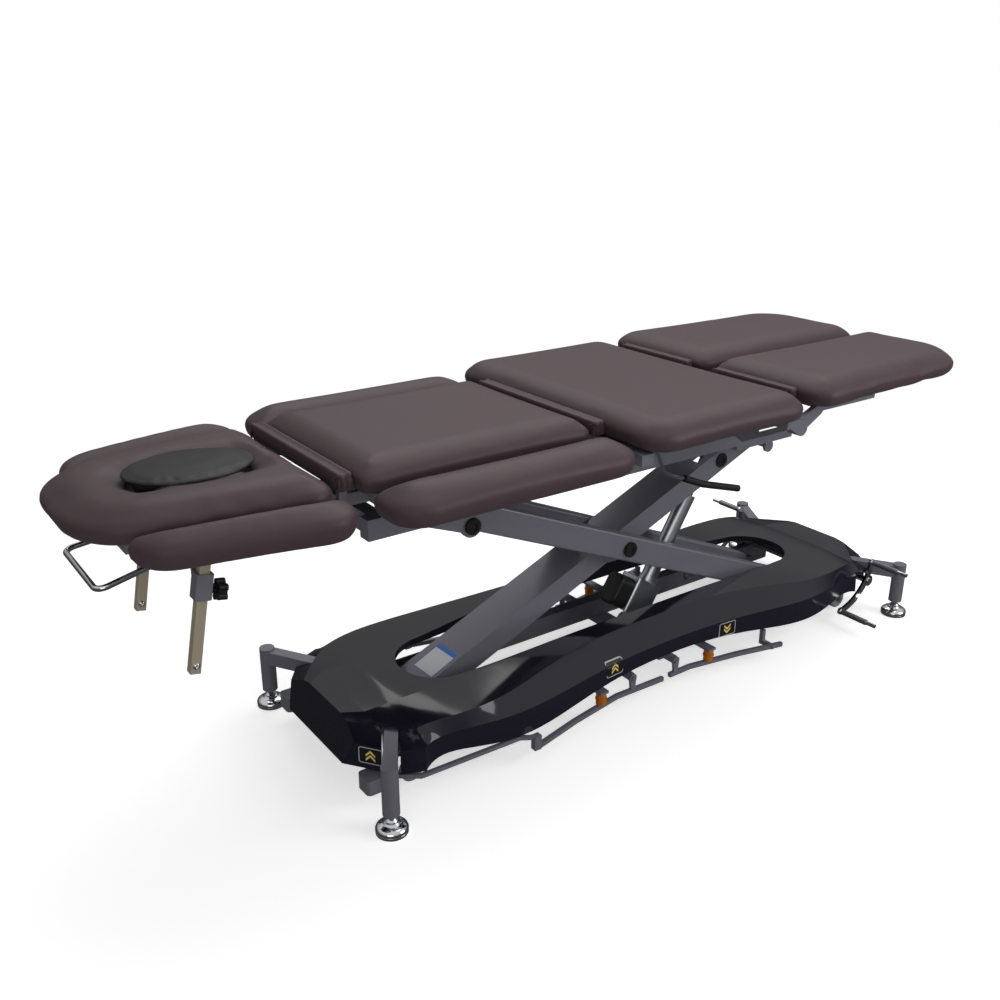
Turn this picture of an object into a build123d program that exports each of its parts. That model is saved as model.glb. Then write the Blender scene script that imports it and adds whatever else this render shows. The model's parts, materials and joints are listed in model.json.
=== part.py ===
from build123d import *
import os
from math import acos, atan2, cos, degrees, hypot, radians, sin, tan

# Physiotherapy examination table with a scissor lift and nine upholstered sections.
# X runs from the head end (negative) to the foot end, Y from the near side (negative)
# to the far side, Z up. The origin lies on the floor under the middle of the table.

# Whole table
table_length = 2000.0
table_width = 676.0
half_length = table_length / 2
half_width = table_width / 2
overrun = 30.0
face_gap = 0.3
pin_fit = 0.05

# Section hinges along the table
head_hinge_x = -576.0
back_hinge_x = -47.0
leg_hinge_x = 417.0
upper_hinge_z = 642.0
leg_hinge_z = 588.0

# Levelling feet and posts
base_x = 172.0
foot_span = 1470.0
foot_gauge = 522.0
disc_radius = 30.0
disc_rim = 5.0
disc_dome = 5.0
collar_radius = 12.0
collar_height = 15.0
stem_radius = 7.0
stem_reach = 45.0
stem_seat = 6.0
post_radius = 16.0
post_bottom = 37.0
post_top = 137.0
post_chamfer = 1.5

# Base frame
rail_inner = 99.0
rail_width = 30.0
rail_bottom = 45.0
rail_height = 45.0
cross_offset = 645.0
cross_width = 30.0
corner_arm_width = 26.0
corner_arm_height = 30.0
corner_arm_drop = 4.0
pivot_beam_width = 40.0
pivot_beam_bottom = 30.0
pivot_beam_height = 20.0
lug_thickness = 9.0
lug_radius = 22.0
actuator_beam_width = 36.0

# Scissor lift
base_pivot_offset = 556.0
base_pivot_z = 85.0
lower_half = 575.0
scissor_angle = 22.9
upper_reach = 420.0
upper_rise = 159.0
rod_pin_distance = 340.0
inner_half_width = 47.0
inner_half_depth = 25.0
channel_side = 5.0
channel_web = 4.0
arm_side_gap = 5.0
outer_width = 35.0
outer_half_depth = 28.5
outer_edge_radius = 5.0
pin_radius = 10.0
cross_tube_radius = 12.0
low_tie_distance = 180.0
high_tie_distance = 850.0
roller_radius = 14.0
roller_width = 7.0
roller_pin_radius = 6.0
roller_side_gap = 1.0
track_wall = 4.0
low_track_start = 345.0
low_track_end = 588.0
top_track_start = 445.0
top_track_end = 632.0
runner_inner = 88.0
runner_width = 16.0
web_slot_half = 55.0
web_slot_width = 62.0

# Pivot caps
cap_radius = 17.0
cap_height = 7.0
cap_ribs = 20
cap_rib_radius = 1.6
cap_dish_radius = 8.0
cap_dish_depth = 2.0
small_cap_height = 4.0

# Actuator
actuator_pivot_offset = 60.0
actuator_pivot_z = 70.0
tube_radius = 19.0
tube_start = 42.0
tube_end = 332.0
bore_start = 46.0
rod_radius = 11.0
rod_start = 126.0
eye_radius = 13.0
eye_half_width = 10.0
stud_gap = 2.0
gear_start = 22.0
gear_length = 84.0
gear_width = 62.0
gear_below = 24.0
gear_above = 58.0
gear_fillet = 9.0
gear_collar_radius = 23.0
gear_collar_height = 12.0
motor_radius = 26.0
motor_length = 46.0
motor_along = 60.0
motor_fillet = 6.0
clevis_half_width = 12.0
clevis_radius = 16.0

# Cover, its outline given as shares of its half length, half width and height
cover_wall = 3.0
cover_half_length = 755.0
cover_half_width = 232.0
cover_height = 172.0
cover_middle_shares = (
    (0.000, 0.884, 0.564, 0.888, 0.762, 0.668, 0.988, 0.500, 1.000),
    (0.212, 0.909, 0.529, 0.910, 0.750, 0.685, 0.983, 0.491, 0.988),
    (0.424, 0.987, 0.430, 0.987, 0.721, 0.776, 0.930, 0.461, 0.936),
    (0.636, 1.000, 0.407, 0.996, 0.698, 0.888, 0.860, 0.431, 0.878),
    (0.848, 0.983, 0.401, 0.974, 0.686, 0.815, 0.805, 0.401, 0.849),
)
cover_end_shares = (
    (0.914, 0.884, 0.398, 0.875, 0.686, 0.603, 0.797, 0.388, 0.837),
    (1.020, 0.405, 0.395, 0.400, 0.686, 0.185, 0.814, 0.172, 0.826),
)
opening_half_length = 558.0
opening_half_width = 115.0
opening_end_radius = 90.0
lip_bottom = 137.0
end_rake = 30.0
arm_notch_gap = 4.0
corner_notch_start = 622.0
corner_notch_inner = 210.0
corner_notch_top = 124.0
buffer_length = 8.0
buffer_inner = 50.0
buffer_outer = 80.0

# Wheel lift
pedal_shaft_offset = 673.0
pedal_shaft_z = 92.0
pedal_shaft_radius = 8.0
pedal_shaft_half = 222.0
bearing_thickness = 8.0
plate_y_inner = 215.0
plate_thickness = 6.0
plate_width = 17.0
plate_boss = 14.0
plate_top_run = 4.0
plate_top_rise = 50.0
plate_low_run = 99.0
plate_low_drop = 57.0
plate_bulge = 26.0
foot_rod_radius = 5.0
foot_rod_length = 104.0
sleeve_radius = 7.0
sleeve_length = 70.0
castor_offset = 625.0
castor_y = 158.0
lever_pivot_offset = 528.0
lever_pivot_z = 58.0
lever_pin_radius = 8.0
lever_thickness = 10.0
lever_depth = 20.0
lever_gap = 3.0
tie_offset = 602.0
tie_size = 9.0
tie_bottom = 96.0
lever_step = 590.0
lever_end = 645.0
lever_high = 61.0
castor_plate_z = 80.0
castor_plate_thickness = 6.0
castor_plate_size = 44.0
wheel_radius = 24.0
wheel_width = 17.0
wheel_lift = 7.0
wheel_trail = 8.0
wheel_gap = 1.0
axle_radius = 4.0
fork_wall = 3.0
fork_radius = 21.0
castor_stem_radius = 6.0

# Foot bars
up_bar_pivot = -105.0
down_bar_pivot = 22.0
bar_pivot_z = 70.0
bar_pivot_y = 197.0
bar_pin_radius = 5.0
bar_bend_radius = 9.0
bar_bottom = 34.0
bar_height = 10.0
bar_width = 9.0
up_bar_tail = 87.0
down_bar_tail = 18.0
bar_web = 87.0
bar_knee = 45.0
bar_quarter = 175.0
bar_reach = 295.0
bar_side = 200.0
bar_side_quarter = 222.0
bar_side_end = 250.0
ear_thickness = 6.0
bracket_thickness = 14.0
bumper_radius = 11.0
bumper_shift = 8.0
bumper_run = 95.0
bumper_height = 26.0
bumper_plate = 6.0
extension_size = 8.0
extension_drop = 16.0
extension_knee = 30.0
extension_side = 232.0
extension_far = 220.0
extension_far_side = 226.0
extension_end = 290.0
foot_pedal_length = 44.0
foot_pedal_width = 42.0
foot_pedal_height = 17.0
foot_pedal_run = 617.0
foot_pedal_y = 172.0
foot_pedal_z = 34.0

# Lift frame
frame_rail_inner = 90.0
frame_rail_width = 30.0
frame_rail_bottom = 500.0
frame_rail_height = 40.0
frame_low_height = 8.0
frame_head_x = -508.0
frame_step_x = 400.0
frame_end_x = 640.0
frame_cross_x = (-480.0, -170.0, 150.0, 372.0)
frame_cross_width = 30.0
gusset_thickness = 8.0
gusset_head = 150.0
gusset_foot = 95.0
gusset_radius = 24.0
riser_width = 30.0
seat_tube_height = 22.0
seat_tube_width = 30.0
seat_inset = 38.0
seat_half_width = half_width - seat_inset
seat_head_x = -18.0
seat_foot_x = 383.0
seat_side_y = 190.0
seat_side_width = 25.0
knuckle_radius = 9.0
knuckle_length = 12.0
lug_shoulder = 11.0
lug_heel = 9.0
knuckle_pin_radius = 4.0
hinge_leaf = 6.0
leg_knuckle_inset = 59.0
leg_knuckle_y = half_width - leg_knuckle_inset
leg_knuckle_radius = 16.0
leg_knuckle_width = 12.0
leg_pin_radius = 7.0
leg_arm_start = 478.0
leg_arm_end = 664.0
leg_tube_height = 16.0
leg_slat_width = 30.0
leg_slat_inner = 60.0

# Pads
pad_bottom = 616.0
pad_top = 670.0
wing_top = 652.0
wing_bottom = 592.0
back_pad_drop = 2.0
head_pad_bottom = 604.0
head_pad_top = 660.0
leg_pad_bottom = 629.0
leg_pad_top = 681.0
pad_gap = 15.0
leg_gap_head = 6.0
leg_gap_foot = 18.0
rim_levels_share = ((0.0, 0.62), (0.12, 0.12), (0.32, 0.0), (0.56, 0.0), (0.76, 0.16), (0.90, 0.55), (1.0, 1.45))
rim_width = 20.0
side_draw_share = 0.009
seat_corner = 60.0
back_pad_half = half_width * 0.61834
back_corner = 28.0
wing_gap = 6.0
wing_inner = back_pad_half + wing_gap
wing_corner = half_width * 0.1834
wing_tight_corner = half_width * 0.0769
wing_foot_gap = 3.0
leg_split = 16.0
leg_corner_hinge = 46.0
leg_corner_foot = 125.0
leg_corner_inner = 36.0
leg_foot_taper = 20.0
head_half = half_width * 0.6213
head_nose_half = half_width * 0.4734
head_corner = 42.0
head_nose_radius = half_width * 0.3846
armrest_rear_x = -592.0
armrest_gap = 4.5
armrest_front_gap = half_width * 0.0355
armrest_outer_rear = half_width * 0.9408
armrest_front_x = -946.0
armrest_front_step = half_width * 0.0769
armrest_front_inner = head_nose_half + armrest_front_gap
armrest_front_outer = half_width * 0.7456
armrest_rear_inner = head_half + armrest_gap
armrest_top = 650.0
armrest_tip = half_width * 0.0473
armrest_corner = half_width * 0.2071
armrest_rim = half_width * 0.03846
armrest_bottom = 590.0

# Breathing hole and plug
plug_x = -770.0
plug_half_length = 112.0
plug_half_width = 86.0
plug_flange_height = 10.0
plug_flange_bottom = 658.0
plug_body_depth = 26.0
plug_body_inset = 12.0
plug_edge = 4.0
plug_clearance = 0.5

# Back and head frames
back_tube_height = 22.0
back_tube_width = 25.0
back_frame_inset = 9.0
back_frame_half = back_pad_half - back_frame_inset
back_head_tube = 51.0
back_foot_tube = 23.0
back_slat_x = -300.0
hinge_inset = 60.0
hinge_y = head_half - hinge_inset
wing_hinge_in = 2.0
wing_hinge_y = back_pad_half - wing_hinge_in
wing_hinge_z = 584.0
wing_barrel_radius = 5.5
wing_pin_radius = 2.5
wing_leaf_thickness = 4.0
wing_leaf_width = 90.0
wing_leaf_length = 60.0
wing_knuckle = 12.0
wing_hinge_inset = 90.0
head_frame_front_x = -920.0
head_frame_half = 120.0
head_rear_gap = 42.0
head_rear_inset = 28.0
head_rear_half = head_half - head_rear_inset
head_frame_bottom = 582.0
head_tube_height = 22.0
head_tube_width = 24.0

# Armrest supports
support_lean = 11.0
support_x = -844.0
support_y = 137.0
support_size = 18.0
support_wall = 2.0
support_bottom = 362.0
support_length = 226.0
stop_hole_radius = 5.0
stop_hole_rise = 14.0
collar_size = 28.0
collar_fit = 0.4
collar_start = 128.0
collar_length = 44.0
collar_plate = 6.0
collar_plate_head = -824.0
collar_plate_foot = -796.0
collar_plate_bottom = 497.0
knob_along = 140.0
knob_gap = 0.55
support_plate_thickness = 5.0
support_plate_half = 45.0
support_plate_x = -801.0
support_plate_inset = 82.0
support_plate_outer = armrest_outer_rear - support_plate_inset
knob_radius = 19.0
knob_lobe_radius = 6.0
knob_lobes = 5
knob_thickness = 15.0
knob_stem_radius = 5.0
knob_stem_length = 14.0

# Release bar and side lever
bar_rod_radius = 5.0
bar_shaft_radius = 6.5
bar_root_x = -828.0
bar_root_z = 548.0
bar_root_half = 80.0
bar_front_x = -964.0
bar_front_z = 524.0
bar_front_half = 97.0
bar_corner = 16.0
bar_ear_thickness = 6.0
side_lever_y = -200.0
side_lever_rod_radius = 4.0
side_lever_grip_radius = 7.5
side_lever_x = 100.0
side_lever_z = 575.0
side_lever_shares = ((0.0, 0.0), (0.09, 0.36), (0.17, 0.455), (0.33, 0.57), (0.56, 0.755), (1.0, 1.0))
grip_gap_share = 0.008
side_lever_length = 249.0
side_lever_drop = 134.0
side_lever_boss = 9.0
side_lever_boss_width = 8.0

# Gap strips
strip_width = 20.0
strip_thickness = 6.0
strip_bottom = 651.3
leg_strip_bottom = 658.0
leg_strip_width = 24.0
head_strip_half = 150.0
strip_end_inset = 17.0
back_strip_half = back_pad_half - strip_end_inset
leg_strip_outer = leg_knuckle_y - strip_end_inset
leg_strip_inner = 42.0

# Places worked out from the sizes
angle = radians(scissor_angle)
base_pivot_x = base_x - base_pivot_offset
centre_x = base_pivot_x + lower_half * cos(angle)
centre_z = base_pivot_z + lower_half * sin(angle)
low_roller_x = centre_x + lower_half * cos(angle)
frame_pivot_x = centre_x - upper_reach
frame_pivot_z = centre_z + upper_rise
top_roller_z = frame_pivot_z
top_roller_x = centre_x + upper_reach
upper_half = hypot(upper_reach, upper_rise)
rod_pin_x = centre_x + rod_pin_distance * cos(angle)
rod_pin_z = centre_z + rod_pin_distance * sin(angle)
actuator_x = base_x + actuator_pivot_offset
actuator_angle = atan2(rod_pin_z - actuator_pivot_z, rod_pin_x - actuator_x)
actuator_length = hypot(rod_pin_z - actuator_pivot_z, rod_pin_x - actuator_x)
rail_top = rail_bottom + rail_height
rail_outer = rail_inner + rail_width
outer_inner = inner_half_width + arm_side_gap
outer_outer = outer_inner + outer_width
frame_rail_top = frame_rail_bottom + frame_rail_height
frame_rail_outer = frame_rail_inner + frame_rail_width
pedal_shaft_x = base_x + pedal_shaft_offset
post_x = foot_span / 2
post_y = foot_gauge / 2
wheel_z = wheel_radius + wheel_lift
inner_plane = Plane(
    origin=(base_pivot_x, 0, base_pivot_z), x_dir=(cos(angle), 0, sin(angle)), z_dir=(0, -1, 0)
)
outer_plane = Plane(
    origin=(low_roller_x, 0, base_pivot_z), x_dir=(-cos(angle), 0, sin(angle)), z_dir=(0, 1, 0)
)
actuator_plane = Plane(
    origin=(actuator_x, 0, actuator_pivot_z),
    x_dir=(cos(actuator_angle), 0, sin(actuator_angle)),
    z_dir=(0, -1, 0),
)
roller_along = upper_reach * cos(angle) + upper_rise * sin(angle) + lower_half
roller_across = upper_rise * cos(angle) - upper_reach * sin(angle)
tube_bottom = pad_bottom - seat_tube_height
head_tube_bottom = head_pad_bottom - head_tube_height
axis_plane = Plane(
    origin=(actuator_x, 0, actuator_pivot_z),
    x_dir=(0, 1, 0),
    z_dir=(cos(actuator_angle), 0, sin(actuator_angle)),
)

os.makedirs("parts", exist_ok=True)


def save(piece, name):
    """Label a finished piece and write its STEP file."""
    piece.part.label = name
    export_step(piece.part, f"parts/{name}.step")


def block(x0, x1, y0, y1, z0, z1):
    """A plain block between two corners."""
    with BuildPart() as body:
        with BuildSketch(Plane.XY.offset(min(z0, z1))):
            with Locations(((x0 + x1) / 2, (y0 + y1) / 2)):
                Rectangle(abs(x1 - x0), abs(y1 - y0))
        extrude(amount=abs(z1 - z0))
    return body.part


def cylinder_y(x, z, y0, y1, radius):
    """A round bar along Y."""
    with BuildPart() as body:
        with BuildSketch(Plane.XZ.offset(-min(y0, y1))):
            with Locations((x, z)):
                Circle(radius)
        extrude(amount=-abs(y1 - y0))
    return body.part


def cylinder_x(y, z, x0, x1, radius):
    """A round bar along X."""
    with BuildPart() as body:
        with BuildSketch(Plane.YZ.offset(min(x0, x1))):
            with Locations((y, z)):
                Circle(radius)
        extrude(amount=abs(x1 - x0))
    return body.part


def cylinder_z(x, y, z0, z1, radius):
    """A round bar along Z."""
    with BuildPart() as body:
        with BuildSketch(Plane.XY.offset(min(z0, z1))):
            with Locations((x, y)):
                Circle(radius)
        extrude(amount=abs(z1 - z0))
    return body.part


def plate_y(points, y0, y1):
    """A plate with a straight-sided outline in XZ, between two places along Y."""
    with BuildPart() as body:
        with BuildSketch(Plane.XZ.offset(-min(y0, y1))):
            with BuildLine():
                Polyline(*points, close=True)
            make_face()
        extrude(amount=-abs(y1 - y0))
    return body.part


def plate_z(points, z0, z1):
    """A plate with a straight-sided outline in XY, between two heights."""
    with BuildPart() as body:
        with BuildSketch(Plane.XY.offset(min(z0, z1))):
            with BuildLine():
                Polyline(*points, close=True)
            make_face()
        extrude(amount=abs(z1 - z0))
    return body.part


def link_y(x0, z0, r0, x1, z1, r1, y0, y1):
    """A plate around two circles and the straight sides between them."""
    gap = hypot(x1 - x0, z1 - z0)
    along = atan2(z1 - z0, x1 - x0)
    turn = acos((r0 - r1) / gap)
    points = [
        (x0 + r0 * cos(along + turn), z0 + r0 * sin(along + turn)),
        (x1 + r1 * cos(along + turn), z1 + r1 * sin(along + turn)),
        (x1 + r1 * cos(along - turn), z1 + r1 * sin(along - turn)),
        (x0 + r0 * cos(along - turn), z0 + r0 * sin(along - turn)),
    ]
    with BuildPart() as body:
        add(plate_y(points, y0, y1))
        add(cylinder_y(x0, z0, y0, y1, r0))
        add(cylinder_y(x1, z1, y0, y1, r1))
    return body.part


def strip_z(points, width, z0, z1):
    """A flat bar that follows a bent centre line in plan."""
    left, right = [], []
    for i, (px, py) in enumerate(points):
        ax, ay = points[max(i - 1, 0)]
        bx, by = points[min(i + 1, len(points) - 1)]
        d = hypot(bx - ax, by - ay)
        nx, ny = -(by - ay) / d * width / 2, (bx - ax) / d * width / 2
        left.append((px + nx, py + ny))
        right.append((px - nx, py - ny))
    return plate_z(left + right[::-1], z0, z1)


def hinge_lug(axis_x, axis_z, towards, tube_x, low, high, y0, y1):
    """Lug from a frame tube up to a section hinge, leaning away from the moving pad."""
    with BuildPart() as body:
        add(cylinder_y(axis_x, axis_z, y0, y1, knuckle_radius))
        add(plate_y([
            (axis_x - towards * knuckle_radius, axis_z), (axis_x + towards * knuckle_radius, axis_z),
            (axis_x + towards * lug_shoulder, high), (tube_x, high), (tube_x, low),
            (axis_x + towards * lug_heel, low),
        ], y0, y1))
    return body.part


def inset_corners(corners, inset):
    """Corners of a convex outline moved inwards by one distance."""
    moved = []
    count = len(corners)
    area = sum(
        corners[i][0] * corners[(i + 1) % count][1] - corners[(i + 1) % count][0] * corners[i][1]
        for i in range(count)
    )
    turn = 1 if area > 0 else -1
    lines = []
    for i in range(count):
        (ax, ay), (bx, by) = corners[i], corners[(i + 1) % count]
        length = hypot(bx - ax, by - ay)
        nx, ny = -(by - ay) / length * turn, (bx - ax) / length * turn
        lines.append((nx, ny, nx * ax + ny * ay + inset))
    for i in range(count):
        a1, b1, c1 = lines[i - 1]
        a2, b2, c2 = lines[i]
        det = a1 * b2 - a2 * b1
        moved.append(((c1 * b2 - c2 * b1) / det, (a1 * c2 - a2 * c1) / det))
    return moved


def rim_arcs(corners, radii):
    """Start, middle and end of each rounded corner of an outline."""
    arcs = []
    count = len(corners)
    for i in range(count):
        px, py = corners[i - 1]
        cx, cy = corners[i]
        nx, ny = corners[(i + 1) % count]
        d1, d2 = hypot(px - cx, py - cy), hypot(nx - cx, ny - cy)
        ux, uy = (px - cx) / d1, (py - cy) / d1
        vx, vy = (nx - cx) / d2, (ny - cy) / d2
        half = atan2(abs(ux * vy - uy * vx), ux * vx + uy * vy) / 2
        reach = radii[i] / tan(half)
        bx, by = ux + vx, uy + vy
        b = hypot(bx, by)
        to_mid = radii[i] / sin(half) - radii[i]
        arcs.append((
            (cx + ux * reach, cy + uy * reach),
            (cx + bx / b * to_mid, cy + by / b * to_mid),
            (cx + vx * reach, cy + vy * reach),
        ))
    return arcs


def cushion(corners, radii, bottom, top, rim=rim_width, draw_share=side_draw_share):
    """Upholstered pad with a rounded rim, sides drawn in between its corners and a crown."""
    count = len(corners)
    middle = (sum(c[0] for c in corners) / count, sum(c[1] for c in corners) / count)
    with BuildPart() as body:
        for level, inset_share in rim_levels_share:
            inset = inset_share * rim
            outline = inset_corners(corners, inset)
            arcs = rim_arcs(outline, [max(r - inset, r / 3) for r in radii])
            with BuildSketch(Plane.XY.offset(bottom + level * (top - bottom))):
                with BuildLine():
                    for i in range(count):
                        end = arcs[i][2]
                        start = arcs[(i + 1) % count][0]
                        mid = ((end[0] + start[0]) / 2, (end[1] + start[1]) / 2)
                        away = hypot(middle[0] - mid[0], middle[1] - mid[1])
                        pull = draw_share * hypot(start[0] - end[0], start[1] - end[1]) / away
                        ThreePointArc(*arcs[i])
                        ThreePointArc(
                            end,
                            (mid[0] + (middle[0] - mid[0]) * pull, mid[1] + (middle[1] - mid[1]) * pull),
                            start,
                        )
                make_face()
        loft(ruled=True)
    return body.part


def ribbed_cap(x, z, y_face, side, height):
    """Black plastic cap with a ribbed edge and a dished middle, its axis along Y."""
    plane = Plane(origin=(x, y_face, z), x_dir=(1, 0, 0), z_dir=(0, side, 0))
    with BuildPart() as body:
        with BuildSketch(plane):
            Circle(cap_radius)
            with PolarLocations(cap_radius, cap_ribs):
                Circle(cap_rib_radius, mode=Mode.SUBTRACT)
        extrude(amount=height)
        with BuildSketch(plane.offset(height)):
            Circle(cap_dish_radius)
        extrude(amount=-cap_dish_depth, mode=Mode.SUBTRACT)
    return body.part


# Welded base frame
low_track_y = outer_outer + roller_side_gap
track_back = low_track_y + roller_width + roller_side_gap
lug_face = inner_half_width + roller_side_gap
clevis_face = clevis_half_width + face_gap
lever_inner = rail_outer + lever_gap
lever_outer = lever_inner + lever_thickness
bearing_y = rail_outer - bearing_thickness
bumper_top = bar_bottom + bar_height + face_gap + bumper_height
with BuildPart() as base_frame:
    for side in (-1, 1):
        add(block(base_x - cross_offset - cross_width / 2, base_x + cross_offset + cross_width / 2,
                  side * rail_inner, side * rail_outer, rail_bottom, rail_top))
        add(block(base_x + low_track_start, base_x + low_track_end, side * track_back, side * rail_inner,
                  base_pivot_z - roller_radius - track_wall, base_pivot_z + roller_radius + track_wall))
        for up in (-1, 1):
            flange = base_pivot_z + up * (roller_radius + face_gap)
            add(block(base_x + low_track_start, base_x + low_track_end, side * low_track_y,
                      side * rail_inner, flange, flange + up * track_wall))
        # lugs of the inner arm's pivot and of the actuator's foot
        for lug_x, lug_z, lug_r, face in ((base_pivot_x, base_pivot_z, lug_radius, lug_face),
                                          (actuator_x, actuator_pivot_z, clevis_radius, clevis_face)):
            add(block(lug_x - lug_r, lug_x + lug_r, side * face, side * (face + lug_thickness),
                      pivot_beam_bottom, lug_z))
            add(cylinder_y(lug_x, lug_z, side * face, side * (face + lug_thickness), lug_r))
    for end in (-1, 1):
        cross_x = base_x + end * cross_offset
        add(block(cross_x - cross_width / 2, cross_x + cross_width / 2, -rail_outer, rail_outer,
                  rail_top - corner_arm_drop, post_top - corner_arm_drop))
        # buffers that carry the cover
        seat_row = cover_middle_shares[-1]
        seat_x = seat_row[0] * cover_half_length
        for side in (-1, 1):
            add(block(base_x + end * (seat_x - buffer_length), base_x + end * seat_x, side * buffer_inner,
                      side * buffer_outer, rail_top, seat_row[8] * cover_height - cover_wall - face_gap))
    for beam_x, beam_width in ((base_pivot_x, pivot_beam_width), (actuator_x, actuator_beam_width)):
        add(block(beam_x - beam_width / 2, beam_x + beam_width / 2, -rail_outer, rail_outer,
                  pivot_beam_bottom, pivot_beam_bottom + pivot_beam_height))
    add(cylinder_y(base_pivot_x, base_pivot_z, -lug_face - lug_thickness, lug_face + lug_thickness, pin_radius))
    add(cylinder_y(actuator_x, actuator_pivot_z, -clevis_face - lug_thickness, clevis_face + lug_thickness,
                   pin_radius))
    # diagonal corner arms and posts
    for end in (-1, 1):
        for side in (-1, 1):
            start = (base_x + end * cross_offset, side * (rail_outer - cross_width / 2))
            finish = (base_x + end * post_x, side * post_y)
            slope = degrees(atan2(finish[1] - start[1], finish[0] - start[0]))
            run = hypot(finish[0] - start[0], finish[1] - start[1])
            with BuildSketch(Plane.XY.offset(post_top - corner_arm_drop - corner_arm_height)):
                with Locations(((start[0] + finish[0]) / 2, (start[1] + finish[1]) / 2)):
                    Rectangle(run, corner_arm_width, rotation=slope)
            extrude(amount=corner_arm_height)
            add(cylinder_z(*finish, post_bottom, post_top, post_radius))
            add(cylinder_z(*finish, post_bottom - overrun, post_bottom + stem_reach + stem_seat,
                           stem_radius + pin_fit), mode=Mode.SUBTRACT)
    for side in (-1, 1):
        # bearings of the wheel-lift shaft
        add(block(base_x + cross_offset, pedal_shaft_x, side * bearing_y, side * rail_outer,
                  pedal_shaft_z - cross_width / 2, pedal_shaft_z + cross_width / 2))
        add(cylinder_y(pedal_shaft_x, pedal_shaft_z, side * bearing_y, side * rail_outer, cross_width / 2))
    add(cylinder_y(pedal_shaft_x, pedal_shaft_z, -half_width, half_width, pedal_shaft_radius + pin_fit),
        mode=Mode.SUBTRACT)
    for side in (-1, 1):
        for end in (-1, 1):
            # studs of the castor levers
            add(cylinder_y(base_x + end * lever_pivot_offset, lever_pivot_z, side * (rail_outer - lever_gap),
                           side * (lever_outer + lever_gap), lever_pin_radius))
            # brackets of the foot bars and of their rubber stops
            pivot = base_x + (down_bar_pivot if end > 0 else up_bar_pivot)
            add(block(pivot - bracket_thickness / 2, pivot + bracket_thickness / 2,
                      side * (rail_outer - lever_gap), side * (bar_pivot_y - face_gap),
                      bar_pivot_z - bracket_thickness / 2, bar_pivot_z + bracket_thickness / 2))
            add(cylinder_y(pivot, bar_pivot_z, side * (bar_pivot_y - lever_gap),
                           side * (bar_pivot_y + ear_thickness + lever_gap), bar_pin_radius))
            stop_x = pivot + end * bumper_run
            add(block(stop_x - bumper_radius, stop_x + bumper_radius, side * (rail_outer - lever_gap),
                      side * (bar_side + 2 * bumper_radius - lever_gap), bumper_top, bumper_top + bumper_plate))
save(base_frame, "base_frame")

# Levelling feet: domed disc, collar and stem
foot_names = {(-1, -1): "leveling_foot_1", (-1, 1): "leveling_foot_2",
              (1, -1): "leveling_foot_3", (1, 1): "leveling_foot_4"}
disc_top = disc_rim + disc_dome
for (end, side), foot_name in foot_names.items():
    with BuildPart() as leveling_foot:
        with BuildSketch(Plane(origin=(base_x + end * post_x, side * post_y, 0), x_dir=(1, 0, 0), z_dir=(0, -1, 0))):
            with BuildLine():
                Polyline((0, 0), (disc_radius, 0), (disc_radius, disc_rim), (collar_radius + disc_dome, disc_top),
                         (collar_radius, disc_top), (collar_radius, disc_top + collar_height),
                         (stem_radius, disc_top + collar_height + disc_rim),
                         (stem_radius, post_bottom + stem_reach), (0, post_bottom + stem_reach), (0, 0))
            make_face()
        revolve(axis=Axis((base_x + end * post_x, side * post_y, 0), (0, 0, 1)))
    save(leveling_foot, foot_name)


# Moulded cover
def cover_section(row, wall):
    """Corners of the cover's cross-section, drawn in by a wall for its hollow."""
    along, skirt_y, skirt_z, shoulder_y, shoulder_z, ridge_y, ridge_z, crown_y, crown_z = row
    low = skirt_z * cover_height - (overrun if wall else 0)
    half = [
        (skirt_y * cover_half_width - wall, low),
        (shoulder_y * cover_half_width - wall, shoulder_z * cover_height - wall),
        (ridge_y * cover_half_width - wall, ridge_z * cover_height - wall),
        (crown_y * cover_half_width - wall, crown_z * cover_height - wall),
    ]
    return half + [(-y, z) for y, z in half[::-1]]


def cover_loft(rows, wall, ruled):
    """Solid between the cross-sections of the cover."""
    with BuildPart() as body:
        for sign, row in rows:
            with BuildSketch(Plane.YZ.offset(base_x + sign * row[0] * cover_half_length)):
                with BuildLine():
                    Polyline(*cover_section(row, wall), close=True)
                make_face()
        loft(ruled=ruled)
    return body.part


def cover_solid(wall):
    """The whole bulk of the cover: a smooth middle and two faceted ends."""
    middle = [(-1, row) for row in cover_middle_shares[:0:-1]] + [(1, row) for row in cover_middle_shares]
    with BuildPart() as body:
        add(cover_loft(middle, wall, False))
        for sign in (-1, 1):
            rows = [(sign, cover_middle_shares[-1])] + [(sign, row) for row in cover_end_shares]
            add(cover_loft(rows[::sign], wall, True))
            high, low = 2 * cover_height, -cover_height
            rake = end_rake / (cover_height / 2)
            face = cover_half_length - wall
            add(plate_y([
                (base_x + sign * (face - rake * (low - cover_bottom_z)), low),
                (base_x + sign * (face - rake * (high - cover_bottom_z)), high),
                (base_x + sign * (face + half_width), high),
                (base_x + sign * (face + half_width), low),
            ], -half_width, half_width), mode=Mode.SUBTRACT)
    return body.part


def opening_solid(extra, low, high):
    """Upright solid of the long oval opening, widened by a wall."""
    tip = opening_half_length + extra
    shoulder = opening_half_length - opening_end_radius
    wide = opening_end_radius + extra
    with BuildPart() as body:
        with BuildSketch(Plane.XY.offset(low)):
            with BuildLine():
                ThreePointArc((base_x + shoulder, -wide), (base_x + tip, 0), (base_x + shoulder, wide))
                ThreePointArc((base_x + shoulder, wide), (base_x, opening_half_width + extra),
                              (base_x - shoulder, wide))
                ThreePointArc((base_x - shoulder, wide), (base_x - tip, 0), (base_x - shoulder, -wide))
                ThreePointArc((base_x - shoulder, -wide), (base_x, -opening_half_width - extra),
                              (base_x + shoulder, -wide))
            make_face()
        extrude(amount=high - low)
    return body.part


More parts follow.
